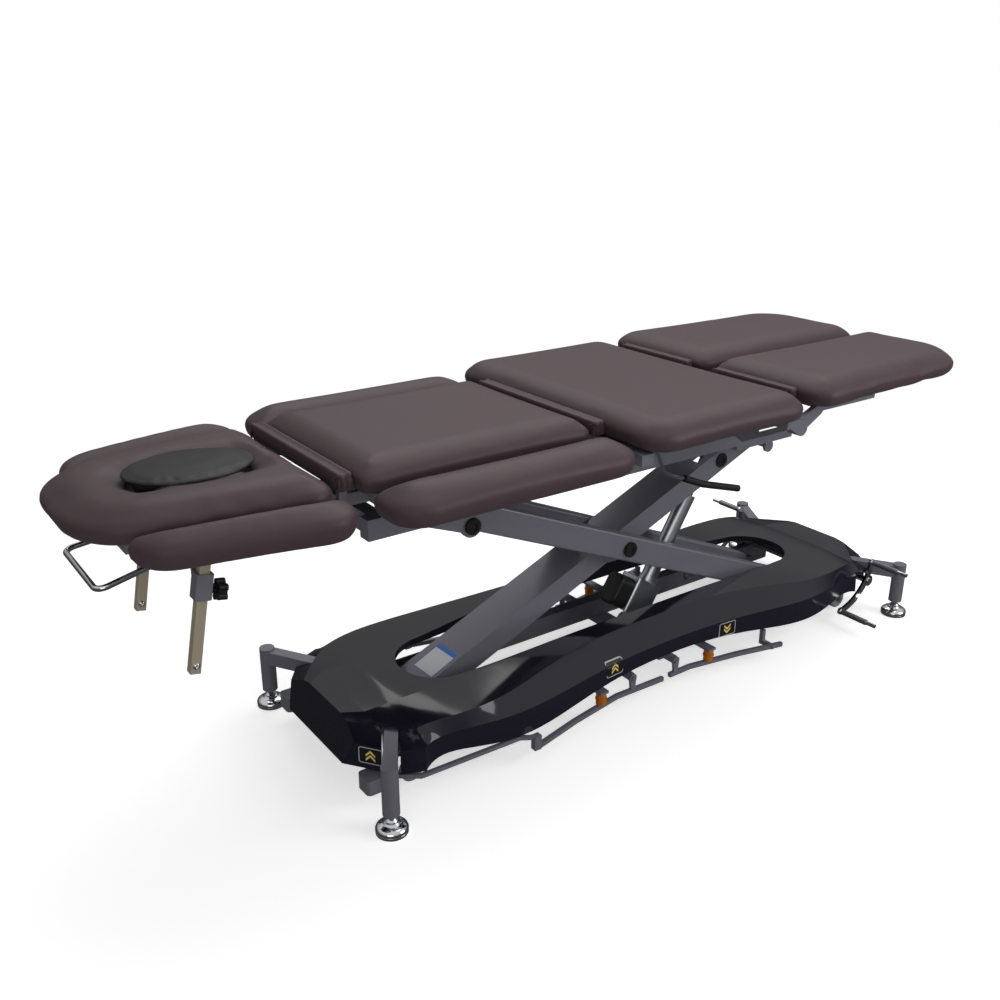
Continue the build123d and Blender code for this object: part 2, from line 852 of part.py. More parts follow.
cover_bottom_z = cover_end_shares[0][2] * cover_height
cavity = cover_solid(cover_wall) - opening_solid(cover_wall, lip_bottom, 2 * cover_height)
with BuildPart() as base_cover:
    add(cover_solid(0))
    add(cavity, mode=Mode.SUBTRACT)
    add(opening_solid(0, 0, 2 * cover_height), mode=Mode.SUBTRACT)
    # slots for the corner arms and the wheel-lift shaft
    for end in (-1, 1):
        for side in (-1, 1):
            start = (base_x + end * cross_offset, side * (rail_outer - cross_width / 2))
            finish = (base_x + end * post_x, side * post_y)
            slope = degrees(atan2(finish[1] - start[1], finish[0] - start[0]))
            run = hypot(finish[0] - start[0], finish[1] - start[1])
            with BuildSketch(Plane.XY):
                with Locations(((start[0] + finish[0]) / 2, (start[1] + finish[1]) / 2)):
                    Rectangle(run + 2 * corner_arm_width, corner_arm_width + 2 * arm_notch_gap, rotation=slope)
            extrude(amount=post_top, mode=Mode.SUBTRACT)
    for side in (-1, 1):
        add(block(base_x + corner_notch_start, base_x + post_x + overrun, side * corner_notch_inner,
                  side * (cover_half_width + overrun), 0, corner_notch_top), mode=Mode.SUBTRACT)
        slot_half = pedal_shaft_radius + arm_notch_gap
        add(block(pedal_shaft_x - slot_half, pedal_shaft_x + slot_half, side * (plate_y_inner - overrun),
                  side * plate_y_inner, 0, pedal_shaft_z), mode=Mode.SUBTRACT)
        add(cylinder_y(pedal_shaft_x, pedal_shaft_z, side * (plate_y_inner - overrun), side * plate_y_inner,
                       slot_half), mode=Mode.SUBTRACT)
save(base_cover, "base_cover")

# Wheel-lift shaft with its two curved levers and short foot rods


def curved_lever(y0, y1):
    """Curved lever plate that bulges away from the base."""
    top = (pedal_shaft_x + plate_top_run, pedal_shaft_z + plate_top_rise)
    low = (pedal_shaft_x - plate_low_run, pedal_shaft_z - plate_low_drop)
    chord = hypot(top[0] - low[0], top[1] - low[1])
    out = ((top[1] - low[1]) / chord, -(top[0] - low[0]) / chord)
    middle = ((top[0] + low[0]) / 2, (top[1] + low[1]) / 2)
    half = plate_width / 2
    with BuildPart() as body:
        with BuildSketch(Plane.XZ.offset(-min(y0, y1))):
            with BuildLine():
                ThreePointArc((top[0] + out[0] * half, top[1] + out[1] * half),
                              (middle[0] + out[0] * (plate_bulge + half), middle[1] + out[1] * (plate_bulge + half)),
                              (low[0] + out[0] * half, low[1] + out[1] * half))
                Line((low[0] + out[0] * half, low[1] + out[1] * half),
                     (low[0] - out[0] * half, low[1] - out[1] * half))
                ThreePointArc((low[0] - out[0] * half, low[1] - out[1] * half),
                              (middle[0] + out[0] * (plate_bulge - half), middle[1] + out[1] * (plate_bulge - half)),
                              (top[0] - out[0] * half, top[1] - out[1] * half))
                Line((top[0] - out[0] * half, top[1] - out[1] * half),
                     (top[0] + out[0] * half, top[1] + out[1] * half))
            make_face()
            with Locations(top, low):
                Circle(half)
            with Locations((pedal_shaft_x, pedal_shaft_z)):
                Circle(plate_boss)
        extrude(amount=-abs(y1 - y0))
    return body.part


rod_places = ((plate_top_run, plate_top_rise), (-plate_low_run, -plate_low_drop))
with BuildPart() as wheel_lift_shaft:
    add(cylinder_y(pedal_shaft_x, pedal_shaft_z, -pedal_shaft_half, pedal_shaft_half, pedal_shaft_radius))
    for side in (-1, 1):
        add(curved_lever(side * plate_y_inner, side * (plate_y_inner + plate_thickness)))
        for run, rise in rod_places:
            add(cylinder_y(pedal_shaft_x + run, pedal_shaft_z + rise, side * plate_y_inner,
                           side * (plate_y_inner + foot_rod_length), foot_rod_radius))
save(wheel_lift_shaft, "wheel_lift_shaft")

with BuildPart() as pedal_sleeves:
    for side in (-1, 1):
        sleeve_start = plate_y_inner + plate_thickness + lever_gap
        for run, rise in rod_places:
            add(cylinder_y(pedal_shaft_x + run, pedal_shaft_z + rise, side * sleeve_start,
                           side * (sleeve_start + sleeve_length), sleeve_radius))
            add(cylinder_y(pedal_shaft_x + run, pedal_shaft_z + rise, side * plate_y_inner,
                           side * (plate_y_inner + foot_rod_length + lever_gap), foot_rod_radius + pin_fit),
                mode=Mode.SUBTRACT)
        add(cylinder_y(pedal_shaft_x, pedal_shaft_z, side * pedal_shaft_half,
                       side * (pedal_shaft_half + lever_gap), pedal_shaft_radius))
save(pedal_sleeves, "pedal_sleeves")

# Castor carriers, forks and wheels
carrier_names = {-1: "castor_carrier_head", 1: "castor_carrier_foot"}
for end, carrier_name in carrier_names.items():
    pivot = base_x + end * lever_pivot_offset
    castor = base_x + end * castor_offset
    with BuildPart() as castor_carrier:
        for side in (-1, 1):
            near, far = side * lever_inner, side * lever_outer
            add(link_y(pivot, lever_pivot_z, lever_depth / 2 + lever_gap, base_x + end * lever_step,
                       lever_pivot_z + lever_depth / 2, lever_depth / 2, near, far))
            add(block(base_x + end * lever_step, base_x + end * lever_end, near, far, lever_high,
                      castor_plate_z + castor_plate_thickness))
            add(block(base_x + end * (tie_offset - tie_size / 2), base_x + end * (tie_offset + tie_size / 2),
                      near, far, lever_high, tie_bottom + tie_size))
            add(block(castor - castor_plate_size / 2, castor + castor_plate_size / 2, near,
                      side * (castor_y + castor_plate_size / 2), castor_plate_z,
                      castor_plate_z + castor_plate_thickness))
            add(cylinder_y(pivot, lever_pivot_z, near, far, lever_pin_radius + pin_fit), mode=Mode.SUBTRACT)
            add(cylinder_z(castor, side * castor_y, castor_plate_z - lever_gap, castor_plate_z + overrun,
                           castor_stem_radius + pin_fit), mode=Mode.SUBTRACT)
        add(block(base_x + end * (tie_offset - tie_size / 2), base_x + end * (tie_offset + tie_size / 2),
                  -lever_outer, lever_outer, tie_bottom, tie_bottom + tie_size))
    save(castor_carrier, carrier_name)

castor_names = {(-1, -1): "1", (-1, 1): "2", (1, -1): "3", (1, 1): "4"}
crown_bottom = wheel_z + wheel_radius + lever_gap
for (end, side), number in castor_names.items():
    castor = base_x + end * castor_offset
    axle = castor + end * wheel_trail
    middle = side * castor_y
    reach = wheel_width / 2 + wheel_gap + fork_wall
    with BuildPart() as castor_fork:
        add(cylinder_z(castor, middle, crown_bottom, castor_plate_z + castor_plate_thickness + lever_gap,
                       castor_stem_radius))
        add(cylinder_z(castor, middle, crown_bottom, castor_plate_z - face_gap, reach))
        for leg in (-1, 1):
            add(link_y(castor, crown_bottom + lever_gap, lever_gap, axle, wheel_z, axle_radius + lever_gap,
                       middle + leg * (reach - fork_wall), middle + leg * reach))
        add(block(castor - lever_gap, castor + lever_gap, middle - reach, middle + reach, crown_bottom,
                  crown_bottom + 2 * lever_gap))
        add(cylinder_y(axle, wheel_z, middle - reach, middle + reach, axle_radius))
    save(castor_fork, "castor_fork_" + number)
    with BuildPart() as castor_wheel:
        with BuildSketch(Plane(origin=(axle, middle, wheel_z), x_dir=(0, 1, 0), z_dir=(1, 0, 0))):
            with BuildLine():
                tread = wheel_width / 2 - lever_gap
                Polyline((-wheel_width / 2, axle_radius + pin_fit), (-wheel_width / 2, wheel_radius - lever_gap),
                         (-tread, wheel_radius), (tread, wheel_radius), (wheel_width / 2, wheel_radius - lever_gap),
                         (wheel_width / 2, axle_radius + pin_fit), (-wheel_width / 2, axle_radius + pin_fit))
            make_face()
        revolve(axis=Axis((axle, middle, wheel_z), (0, 1, 0)))
    save(castor_wheel, "castor_wheel_" + number)


# Foot bars: a flat bar along the cover, an ear on its pivot and a pointed end
def foot_bar(pivot_offset, tail, end, side):
    """One foot bar; end is the way it runs from its pivot."""
    pivot = base_x + pivot_offset
    line = [
        (pivot - end * tail, side * (bar_side + bar_width * tail / bar_reach)),
        (pivot + end * bar_knee, side * bar_side),
        (pivot + end * bar_quarter, side * bar_side_quarter),
        (pivot + end * bar_reach, side * bar_side_end),
    ]
    with BuildPart() as body:
        add(strip_z(line, bar_width, bar_bottom, bar_bottom + bar_height))
        add(link_y(pivot, bar_pivot_z, bar_bend_radius, pivot, bar_bottom + bar_height / 2, bar_height / 2,
                   side * bar_pivot_y, side * (bar_pivot_y + ear_thickness)))
        add(cylinder_y(pivot, bar_pivot_z, side * (bar_pivot_y - overrun), side * (bar_pivot_y + overrun),
                       bar_pin_radius + pin_fit), mode=Mode.SUBTRACT)
    return body.part


for side, word in ((-1, "near"), (1, "far")):
    pivot = base_x + down_bar_pivot
    with BuildPart() as foot_bar_down:
        add(foot_bar(down_bar_pivot, down_bar_tail, 1, side))
        # web with a guide lug near the outer end
        web = pivot + bar_quarter + bar_web
        add(block(web, web + bar_height, side * (bar_side + bar_height), side * bar_side_end, bar_bottom,
                  bar_bottom + bar_height))
        add(block(web, web + bar_height, side * (bar_side + bar_height), side * (bar_side + 2 * bar_height),
                  bar_bottom, bar_pivot_z))
    save(foot_bar_down, "foot_bar_down_" + word)
    pivot = base_x + up_bar_pivot
    with BuildPart() as foot_bar_up:
        add(foot_bar(up_bar_pivot, up_bar_tail, -1, side))
        rod_top = cover_bottom_z - lever_gap
        knee_x = pivot - bar_reach - extension_knee
        far_x = knee_x - extension_far
        pedal_x = pivot - foot_pedal_run
        add(strip_z([(pivot - bar_reach, side * bar_side_end), (knee_x, side * extension_side),
                     (far_x, side * extension_far_side), (pedal_x, side * foot_pedal_y)],
                    extension_size, rod_top - extension_size, rod_top))
        add(block(pivot - bar_reach - extension_size, pivot - bar_reach + extension_size,
                  side * (bar_side_end - bar_width), side * (bar_side_end + bar_width / 2), bar_bottom, rod_top))
        with BuildSketch(Plane.XY.offset(foot_pedal_z)):
            with Locations((pedal_x, side * foot_pedal_y)):
                RectangleRounded(foot_pedal_length, foot_pedal_width, bar_width)
        extrude(amount=rod_top - foot_pedal_z)
    save(foot_bar_up, "foot_bar_up_" + word)

with BuildPart() as bar_bumpers:
    for side in (-1, 1):
        for end, pivot_offset in ((-1, up_bar_pivot), (1, down_bar_pivot)):
            stop_x = base_x + pivot_offset + end * bumper_run
            stop_y = side * (bar_side + bumper_shift)
            bottom = bar_bottom + bar_height + face_gap
            add(cylinder_z(stop_x, stop_y, bottom, bumper_top, bumper_radius))
            add(cylinder_z(stop_x, stop_y, bottom + bumper_height / 2 - lever_gap / 2,
                           bottom + bumper_height / 2 + lever_gap / 2, bumper_radius + lever_gap / 2))
save(bar_bumpers, "bar_bumpers")

# Inner scissor arm: channel open below, with its pins and top rollers
arm_long = roller_along
with BuildPart() as inner_arm:
    with BuildSketch(inner_plane.offset(-inner_half_width)):
        with Locations((arm_long / 2, 0)):
            Rectangle(arm_long, 2 * inner_half_depth)
        with Locations((0, 0), (arm_long, 0)):
            Circle(inner_half_depth)
    extrude(amount=2 * inner_half_width)
    cavity_half = inner_half_width - channel_side
    with BuildSketch(inner_plane.offset(-cavity_half)):
        with Locations((arm_long / 2, -overrun / 2 - channel_web / 2)):
            Rectangle(arm_long + 2 * inner_half_depth + 2 * overrun, 2 * inner_half_depth - channel_web + overrun)
    extrude(amount=2 * cavity_half, mode=Mode.SUBTRACT)
    with BuildSketch(inner_plane.offset(-web_slot_width / 2)):
        with Locations((lower_half + rod_pin_distance, inner_half_depth)):
            Rectangle(2 * web_slot_half, 2 * inner_half_depth)
    extrude(amount=web_slot_width, mode=Mode.SUBTRACT)
    # roller boss at the upper end
    for side in (-1, 1):
        add(cylinder_y(top_roller_x, top_roller_z, side * cavity_half, side * inner_half_width, roller_radius))
        add(cylinder_y(centre_x, centre_z, side * (inner_half_width - channel_side / 2),
                       side * (outer_inner - face_gap), pin_radius + channel_side))
        add(cylinder_y(rod_pin_x, rod_pin_z, side * (eye_half_width + stud_gap), side * inner_half_width, pin_radius))
        add(cylinder_y(top_roller_x, top_roller_z, side * low_track_y, side * (low_track_y + roller_width),
                       roller_radius))
    add(cylinder_y(centre_x, centre_z, -outer_outer + face_gap, outer_outer - face_gap, pin_radius))
    add(cylinder_y(top_roller_x, top_roller_z, -low_track_y - roller_width, low_track_y + roller_width,
                   roller_pin_radius))
    add(cylinder_y(base_pivot_x, base_pivot_z, -half_width, half_width, pin_radius + pin_fit), mode=Mode.SUBTRACT)
save(inner_arm, "inner_arm")

# Outer scissor arms: two rounded box tubes joined by cross tubes, with their pins and rollers
with BuildPart() as outer_arms:
    for start_y in (-outer_outer, outer_inner):
        with BuildSketch(outer_plane.offset(start_y)):
            with Locations((arm_long / 2, 0)):
                Rectangle(arm_long, 2 * outer_half_depth)
            with Locations((0, 0), (arm_long, 0)):
                Circle(outer_half_depth)
        extrude(amount=outer_width)
    fillet(outer_arms.edges().filter_by(GeomType.LINE).filter_by(
        lambda edge: edge.length > arm_long - overrun), outer_edge_radius)
    add(cylinder_y(centre_x, centre_z, -half_width, half_width, pin_radius + pin_fit), mode=Mode.SUBTRACT)
    for distance in (low_tie_distance, high_tie_distance):
        tie_x = low_roller_x - distance * cos(angle)
        tie_z = base_pivot_z + distance * sin(angle)
        add(cylinder_y(tie_x, tie_z, -outer_inner - channel_side, outer_inner + channel_side, cross_tube_radius))
    for side in (-1, 1):
        add(cylinder_y(low_roller_x, base_pivot_z, side * outer_inner, side * (low_track_y + roller_width),
                       roller_pin_radius))
        add(cylinder_y(low_roller_x, base_pivot_z, side * low_track_y, side * (low_track_y + roller_width),
                       roller_radius))
        add(cylinder_y(frame_pivot_x, frame_pivot_z, side * outer_inner,
                       side * (frame_rail_inner + gusset_thickness - face_gap), pin_radius))
save(outer_arms, "outer_arms")

cap_faces = {
    "caps_p1": (frame_pivot_x, frame_pivot_z, frame_rail_inner + gusset_thickness, cap_height),
    "caps_p2": (centre_x, centre_z, outer_outer, cap_height),
    "caps_p3": (rod_pin_x, rod_pin_z, inner_half_width, small_cap_height),
}
for cap_name, (cap_x, cap_z, face, height) in cap_faces.items():
    with BuildPart() as caps:
        for side in (-1, 1):
            add(ribbed_cap(cap_x, cap_z, side * face, side, height))
    save(caps, cap_name)

# Actuator: housing with gear case and outer tube, motor, piston rod
with BuildPart() as actuator_housing:
    with BuildSketch(axis_plane.offset(gear_start)):
        with Locations((0, (gear_above - gear_below) / 2)):
            RectangleRounded(gear_width, gear_above + gear_below, gear_fillet)
    extrude(amount=gear_length)
    with BuildSketch(axis_plane.offset(gear_start + gear_length)):
        Circle(gear_collar_radius)
    extrude(amount=gear_collar_height)
    with BuildSketch(axis_plane.offset(tube_start)):
        Circle(tube_radius)
    extrude(amount=tube_end - tube_start)
    with BuildSketch(actuator_plane.offset(-clevis_half_width)):
        Circle(clevis_radius)
        with Locations((gear_start / 2 + clevis_radius / 2, 0)):
            Rectangle(gear_start + clevis_radius, 2 * clevis_radius)
    extrude(amount=2 * clevis_half_width)
    with BuildSketch(actuator_plane.offset(-half_width)):
        Circle(pin_radius + pin_fit)
    extrude(amount=table_width, mode=Mode.SUBTRACT)
    with BuildSketch(axis_plane.offset(bore_start)):
        Circle(rod_radius + pin_fit)
    extrude(amount=tube_end - bore_start, mode=Mode.SUBTRACT)
save(actuator_housing, "actuator_housing")

motor_plane = Plane(
    origin=(actuator_x + motor_along * cos(actuator_angle) - gear_above * sin(actuator_angle), 0,
            actuator_pivot_z + motor_along * sin(actuator_angle) + gear_above * cos(actuator_angle)),
    x_dir=(0, 1, 0),
    z_dir=(-sin(actuator_angle), 0, cos(actuator_angle)),
)
with BuildPart() as actuator_motor:
    with BuildSketch(motor_plane):
        RectangleRounded(2 * motor_radius, gear_length - gear_fillet, motor_radius - motor_fillet)
    extrude(amount=motor_length)
    fillet(actuator_motor.faces().sort_by(Axis(motor_plane.origin, motor_plane.z_dir))[-1].edges(), motor_fillet)
save(actuator_motor, "actuator_motor")

with BuildPart() as actuator_rod:
    with BuildSketch(axis_plane.offset(rod_start)):
        Circle(rod_radius)
    extrude(amount=actuator_length - rod_start)
    with BuildSketch(actuator_plane.offset(-eye_half_width)):
        with Locations((actuator_length, 0)):
            Circle(eye_radius)
    extrude(amount=2 * eye_half_width)
    for side in (-1, 1):
        with BuildSketch(actuator_plane.offset(side * eye_half_width)):
            with Locations((actuator_length - eye_radius, 0)):
                Rectangle(2 * eye_radius + 2 * rod_radius, 2 * eye_radius)
        extrude(amount=side * rod_radius, mode=Mode.SUBTRACT)
save(actuator_rod, "actuator_rod")

# Lift frame: rails, gussets, runners, seat frame and hinge lugs
with BuildPart() as lift_frame:
    for side in (-1, 1):
        rail = (side * frame_rail_inner, side * frame_rail_outer)
        add(plate_y([
            (frame_head_x, frame_rail_bottom), (frame_end_x, frame_rail_bottom),
            (frame_end_x, frame_rail_bottom + frame_low_height), (frame_step_x + frame_rail_height,
                                                                  frame_rail_bottom + frame_low_height),
            (frame_step_x, frame_rail_top), (frame_head_x, frame_rail_top),
        ], *rail))
        add(block(top_track_start, top_track_end, side * runner_inner, side * (runner_inner + runner_width),
                  top_roller_z + roller_radius + face_gap, frame_rail_bottom + frame_low_height / 2))
        gusset = (side * frame_rail_inner, side * (frame_rail_inner + gusset_thickness))
        add(cylinder_y(frame_pivot_x, frame_pivot_z, *gusset, gusset_radius))
        add(plate_y([
            (frame_pivot_x - gusset_head, frame_rail_bottom + frame_low_height),
            (frame_pivot_x - gusset_radius * cos(angle), frame_pivot_z - gusset_radius * sin(angle)),
            (frame_pivot_x + gusset_radius * cos(angle), frame_pivot_z - gusset_radius * sin(angle)),
            (frame_pivot_x + gusset_foot, frame_rail_bottom + frame_low_height),
        ], *gusset))
        for riser_x in (seat_head_x, seat_foot_x):
            add(block(riser_x - riser_width / 2, riser_x + riser_width / 2, *rail, frame_rail_top - overrun,
                      tube_bottom + seat_tube_height / 2))
        add(block(seat_head_x, seat_foot_x, side * seat_side_y, side * (seat_side_y + seat_side_width),
                  tube_bottom, pad_bottom))
        add(hinge_lug(back_hinge_x, upper_hinge_z, 1, seat_head_x, tube_bottom, pad_bottom,
                      side * hinge_y, side * (hinge_y + knuckle_length)))
        add(cylinder_y(back_hinge_x, upper_hinge_z, side * hinge_y,
                       side * (hinge_y + 2 * knuckle_length + face_gap), knuckle_pin_radius))
        # leg hinge lugs either side of each leg frame
        leg_in = leg_knuckle_y - face_gap
        leg_out = leg_knuckle_y + leg_knuckle_width + face_gap
        for y0, y1 in ((leg_in - gusset_thickness, leg_in), (leg_out, leg_out + gusset_thickness)):
            add(link_y(leg_hinge_x, leg_hinge_z, leg_knuckle_radius, seat_foot_x,
                       pad_bottom - seat_tube_height / 2, seat_tube_height / 2, side * y0, side * y1))
        add(cylinder_y(leg_hinge_x, leg_hinge_z, side * (leg_in - gusset_thickness),
                       side * (leg_out + gusset_thickness), leg_pin_radius))
    for cross_x in frame_cross_x:
        add(block(cross_x - frame_cross_width / 2, cross_x + frame_cross_width / 2, -frame_rail_outer,
                  frame_rail_outer, frame_rail_bottom, frame_rail_top))
    for tube_x in (seat_head_x, seat_foot_x):
        add(block(tube_x - seat_tube_width / 2, tube_x + seat_tube_width / 2, -seat_half_width, seat_half_width,
                  tube_bottom, pad_bottom))
    add(cylinder_y(frame_pivot_x, frame_pivot_z, -half_width, half_width, pin_radius + pin_fit),
        mode=Mode.SUBTRACT)
    # bracket and pin of the side lever
    lever_face = side_lever_y + side_lever_boss_width / 2 + face_gap
    add(block(side_lever_x - side_lever_boss, side_lever_x + side_lever_boss, lever_face,
              lever_face + ear_thickness, side_lever_z - side_lever_boss, tube_bottom + seat_tube_height / 2))
    add(cylinder_y(side_lever_x, side_lever_z, lever_face + ear_thickness, side_lever_y - side_lever_boss,
                   knuckle_pin_radius))
save(lift_frame, "lift_frame")

# Back frame
with BuildPart() as back_frame:
    head_x = head_hinge_x + back_head_tube
    foot_x = back_hinge_x - back_foot_tube
    for side in (-1, 1):
        add(block(head_x, foot_x, side * (back_frame_half - back_tube_width), side * back_frame_half,
                  tube_bottom, pad_bottom))
        moving = hinge_y + knuckle_length + face_gap
        add(hinge_lug(back_hinge_x, upper_hinge_z, -1, foot_x, tube_bottom, pad_bottom,
                      side * moving, side * (moving + knuckle_length)))
        add(cylinder_y(back_hinge_x, upper_hinge_z, side * moving, side * (moving + knuckle_length),
                       knuckle_pin_radius + pin_fit), mode=Mode.SUBTRACT)
        add(hinge_lug(head_hinge_x, upper_hinge_z, 1, head_x, tube_bottom, pad_bottom,
                      side * hinge_y, side * (hinge_y + knuckle_length)))
        add(cylinder_y(head_hinge_x, upper_hinge_z, side * hinge_y,
                       side * (moving + knuckle_length), knuckle_pin_radius))
        for hinge_x in (head_hinge_x + pad_gap + wing_hinge_inset, back_hinge_x - pad_gap - wing_hinge_inset):
            for end in (-1, 1):
                inner_end = hinge_x + end * (wing_leaf_length / 2 + face_gap)
                outer_end = inner_end + end * wing_knuckle
                add(block(inner_end, outer_end, side * (back_frame_half - back_tube_width / 2),
                          side * wing_hinge_y, wing_hinge_z - wing_barrel_radius, tube_bottom + lever_gap))
                add(cylinder_x(side * wing_hinge_y, wing_hinge_z, inner_end, outer_end, wing_barrel_radius))
            add(cylinder_x(side * wing_hinge_y, wing_hinge_z, hinge_x - wing_leaf_length / 2 - wing_knuckle,
                           hinge_x + wing_leaf_length / 2 + wing_knuckle, wing_pin_radius))
    for tube_x in (head_x + back_tube_width / 2, back_slat_x, foot_x - back_tube_width / 2):
        add(block(tube_x - back_tube_width / 2, tube_x + back_tube_width / 2, -back_frame_half, back_frame_half,
                  tube_bottom, pad_bottom))
save(back_frame, "back_frame")

# Hinge leaves of the back wings
for side, word in ((-1, "near"), (1, "far")):
    with BuildPart() as wing_hinge:
        for hinge_x in (head_hinge_x + pad_gap + wing_hinge_inset, back_hinge_x - pad_gap - wing_hinge_inset):
            x0, x1 = hinge_x - wing_leaf_length / 2, hinge_x + wing_leaf_length / 2
            add(block(x0, x1, side * wing_hinge_y, side * (wing_hinge_y + wing_leaf_width),
                      wing_bottom - wing_leaf_thickness, wing_bottom))
            add(cylinder_x(side * wing_hinge_y, wing_hinge_z, x0, x1, wing_barrel_radius))
            add(cylinder_x(side * wing_hinge_y, wing_hinge_z, x0 - lever_gap, x1 + lever_gap,
                           wing_pin_radius + pin_fit), mode=Mode.SUBTRACT)
    save(wing_hinge, "wing_hinge_" + word)


# Head frame
def support_plane(side):
    """Leaning plane at the bottom of an armrest support, its normal along the tube."""
    lean = radians(support_lean)
    return Plane(origin=(support_x, side * support_y, support_bottom), x_dir=(cos(lean), 0, -sin(lean)),
                 z_dir=(sin(lean), 0, cos(lean)))


with BuildPart() as head_frame:
    rear_x = head_hinge_x - head_rear_gap
    for side in (-1, 1):
        add(block(head_frame_front_x, rear_x, side * (head_frame_half - head_tube_width), side * head_frame_half,
                  head_tube_bottom, head_pad_bottom))
        moving = hinge_y + knuckle_length + face_gap
        add(hinge_lug(head_hinge_x, upper_hinge_z, -1, rear_x, head_tube_bottom, head_pad_bottom,
                      side * moving, side * (moving + knuckle_length)))
        add(cylinder_y(head_hinge_x, upper_hinge_z, side * moving, side * (moving + knuckle_length),
                       knuckle_pin_radius + pin_fit), mode=Mode.SUBTRACT)
        # ears of the release bar
        ear_y = head_frame_half - head_tube_width + lever_gap
        add(block(bar_root_x - side_lever_boss, bar_root_x + side_lever_boss, side * ear_y,
                  side * (ear_y + bar_ear_thickness), bar_root_z, head_tube_bottom + lever_gap))
        add(cylinder_y(bar_root_x, bar_root_z, side * ear_y, side * (ear_y + bar_ear_thickness), side_lever_boss))
        add(cylinder_y(bar_root_x, bar_root_z, side * (ear_y - lever_gap), side * (ear_y + overrun),
                       bar_shaft_radius + pin_fit), mode=Mode.SUBTRACT)
        # sleeve of the armrest support with its plate
        plane = support_plane(side)
        with BuildSketch(plane.offset(collar_start)):
            RectangleRounded(collar_size, collar_size, lever_gap)
        extrude(amount=collar_length)
        collar_face = support_y - collar_size / 2
        add(block(collar_plate_head, collar_plate_foot, side * (collar_face - collar_plate), side * collar_face,
                  collar_plate_bottom, head_tube_bottom + lever_gap))
        with BuildSketch(plane.offset(collar_start - overrun)):
            Rectangle(support_size + 2 * collar_fit, support_size + 2 * collar_fit)
        extrude(amount=collar_length + 2 * overrun, mode=Mode.SUBTRACT)
        with BuildSketch(Plane(origin=plane.from_local_coords((support_size / 2, 0, knob_along)),
                               x_dir=plane.y_dir, z_dir=plane.x_dir)):
            Circle(knob_stem_radius + pin_fit)
        extrude(amount=collar_size, mode=Mode.SUBTRACT)
    add(block(rear_x - head_tube_width, rear_x, -head_rear_half, head_rear_half, head_tube_bottom, head_pad_bottom))
    add(block(head_frame_front_x, head_frame_front_x + head_tube_width, -head_frame_half, head_frame_half,
              head_tube_bottom, head_pad_bottom))
save(head_frame, "head_frame")

# Release bar under the head section
with BuildPart() as head_release_bar:
    slope = atan2(bar_root_z - bar_front_z, bar_root_x - bar_front_x)
    bar_plane = Plane(origin=(bar_root_x, 0, bar_root_z), x_dir=(-cos(slope), 0, -sin(slope)),
                      z_dir=(-sin(slope), 0, cos(slope)))
    bar_reach_out = hypot(bar_root_x - bar_front_x, bar_root_z - bar_front_z)
    with BuildLine(bar_plane) as bar_path:
        FilletPolyline((0, -bar_root_half), (bar_reach_out, -bar_front_half), (bar_reach_out, bar_front_half),
                       (0, bar_root_half), radius=bar_corner)
    with BuildSketch(Plane(origin=bar_path.line @ 0, z_dir=bar_path.line % 0)):
        Circle(bar_rod_radius)
    sweep(path=bar_path.line)
    shaft_half = head_frame_half - head_tube_width + lever_gap + bar_ear_thickness
    add(cylinder_y(bar_root_x, bar_root_z, -shaft_half, shaft_half, bar_shaft_radius))
save(head_release_bar, "head_release_bar")

# Armrest supports with their plates, and the star knobs
for side, word in ((-1, "near"), (1, "far")):
    plane = support_plane(side)
    with BuildPart() as armrest_support:
        with BuildSketch(plane):
            RectangleRounded(support_size, support_size, support_wall)
            Rectangle(support_size - 2 * support_wall, support_size - 2 * support_wall, mode=Mode.SUBTRACT)
        extrude(amount=support_length)
        add(cylinder_y(support_x + stop_hole_rise * sin(radians(support_lean)),
                       support_bottom + stop_hole_rise * cos(radians(support_lean)),
                       side * (support_y - support_size), side * (support_y + support_size), stop_hole_radius),
            mode=Mode.SUBTRACT)
        with BuildSketch(Plane.XY.offset(armrest_bottom - support_plate_thickness)):
            with Locations((support_plate_x, side * (support_y - support_size / 2 + support_plate_outer) / 2)):
                RectangleRounded(2 * support_plate_half, support_plate_outer - support_y + support_size / 2,
                                 bar_width)
        extrude(amount=support_plate_thickness)
        with BuildSketch(Plane.XY.offset(armrest_bottom)):
            with Locations((support_plate_x, side * support_y)):
                Rectangle(4 * support_size, 4 * support_size)
        extrude(amount=overrun, mode=Mode.SUBTRACT)
    save(armrest_support, "armrest_support_" + word)
    knob_plane = Plane(origin=plane.from_local_coords((support_size / 2 + knob_gap, 0, knob_along)),
                       x_dir=plane.y_dir, z_dir=plane.x_dir)
    with BuildPart() as star_knob:
        with BuildSketch(knob_plane):
            Circle(knob_stem_radius)
        extrude(amount=knob_stem_length + knob_thickness)
        with BuildSketch(knob_plane.offset(knob_stem_length)):
            Circle(knob_radius - knob_lobe_radius)
            with PolarLocations(knob_radius - knob_lobe_radius, knob_lobes):
                Circle(knob_lobe_radius)
        extrude(amount=knob_thickness)
    save(star_knob, "star_knob_" + word)

# Side lever: bent chrome rod and black grip
lever_points = [(side_lever_x + along * side_lever_length, side_lever_z - drop * side_lever_drop)
                for along, drop in side_lever_shares]


def lever_sweep(points, radius, corner):
    """Round rod along a bent line in the lever's plane."""
    with BuildPart() as body:
        with BuildLine(Plane.XZ.offset(-side_lever_y)) as path:
            if corner:
                FilletPolyline(*points, radius=corner)
            else:
                Polyline(*points)
        with BuildSketch(Plane(origin=path.line @ 0, z_dir=path.line % 0)):
            Circle(radius)
        sweep(path=path.line)
    return body.part


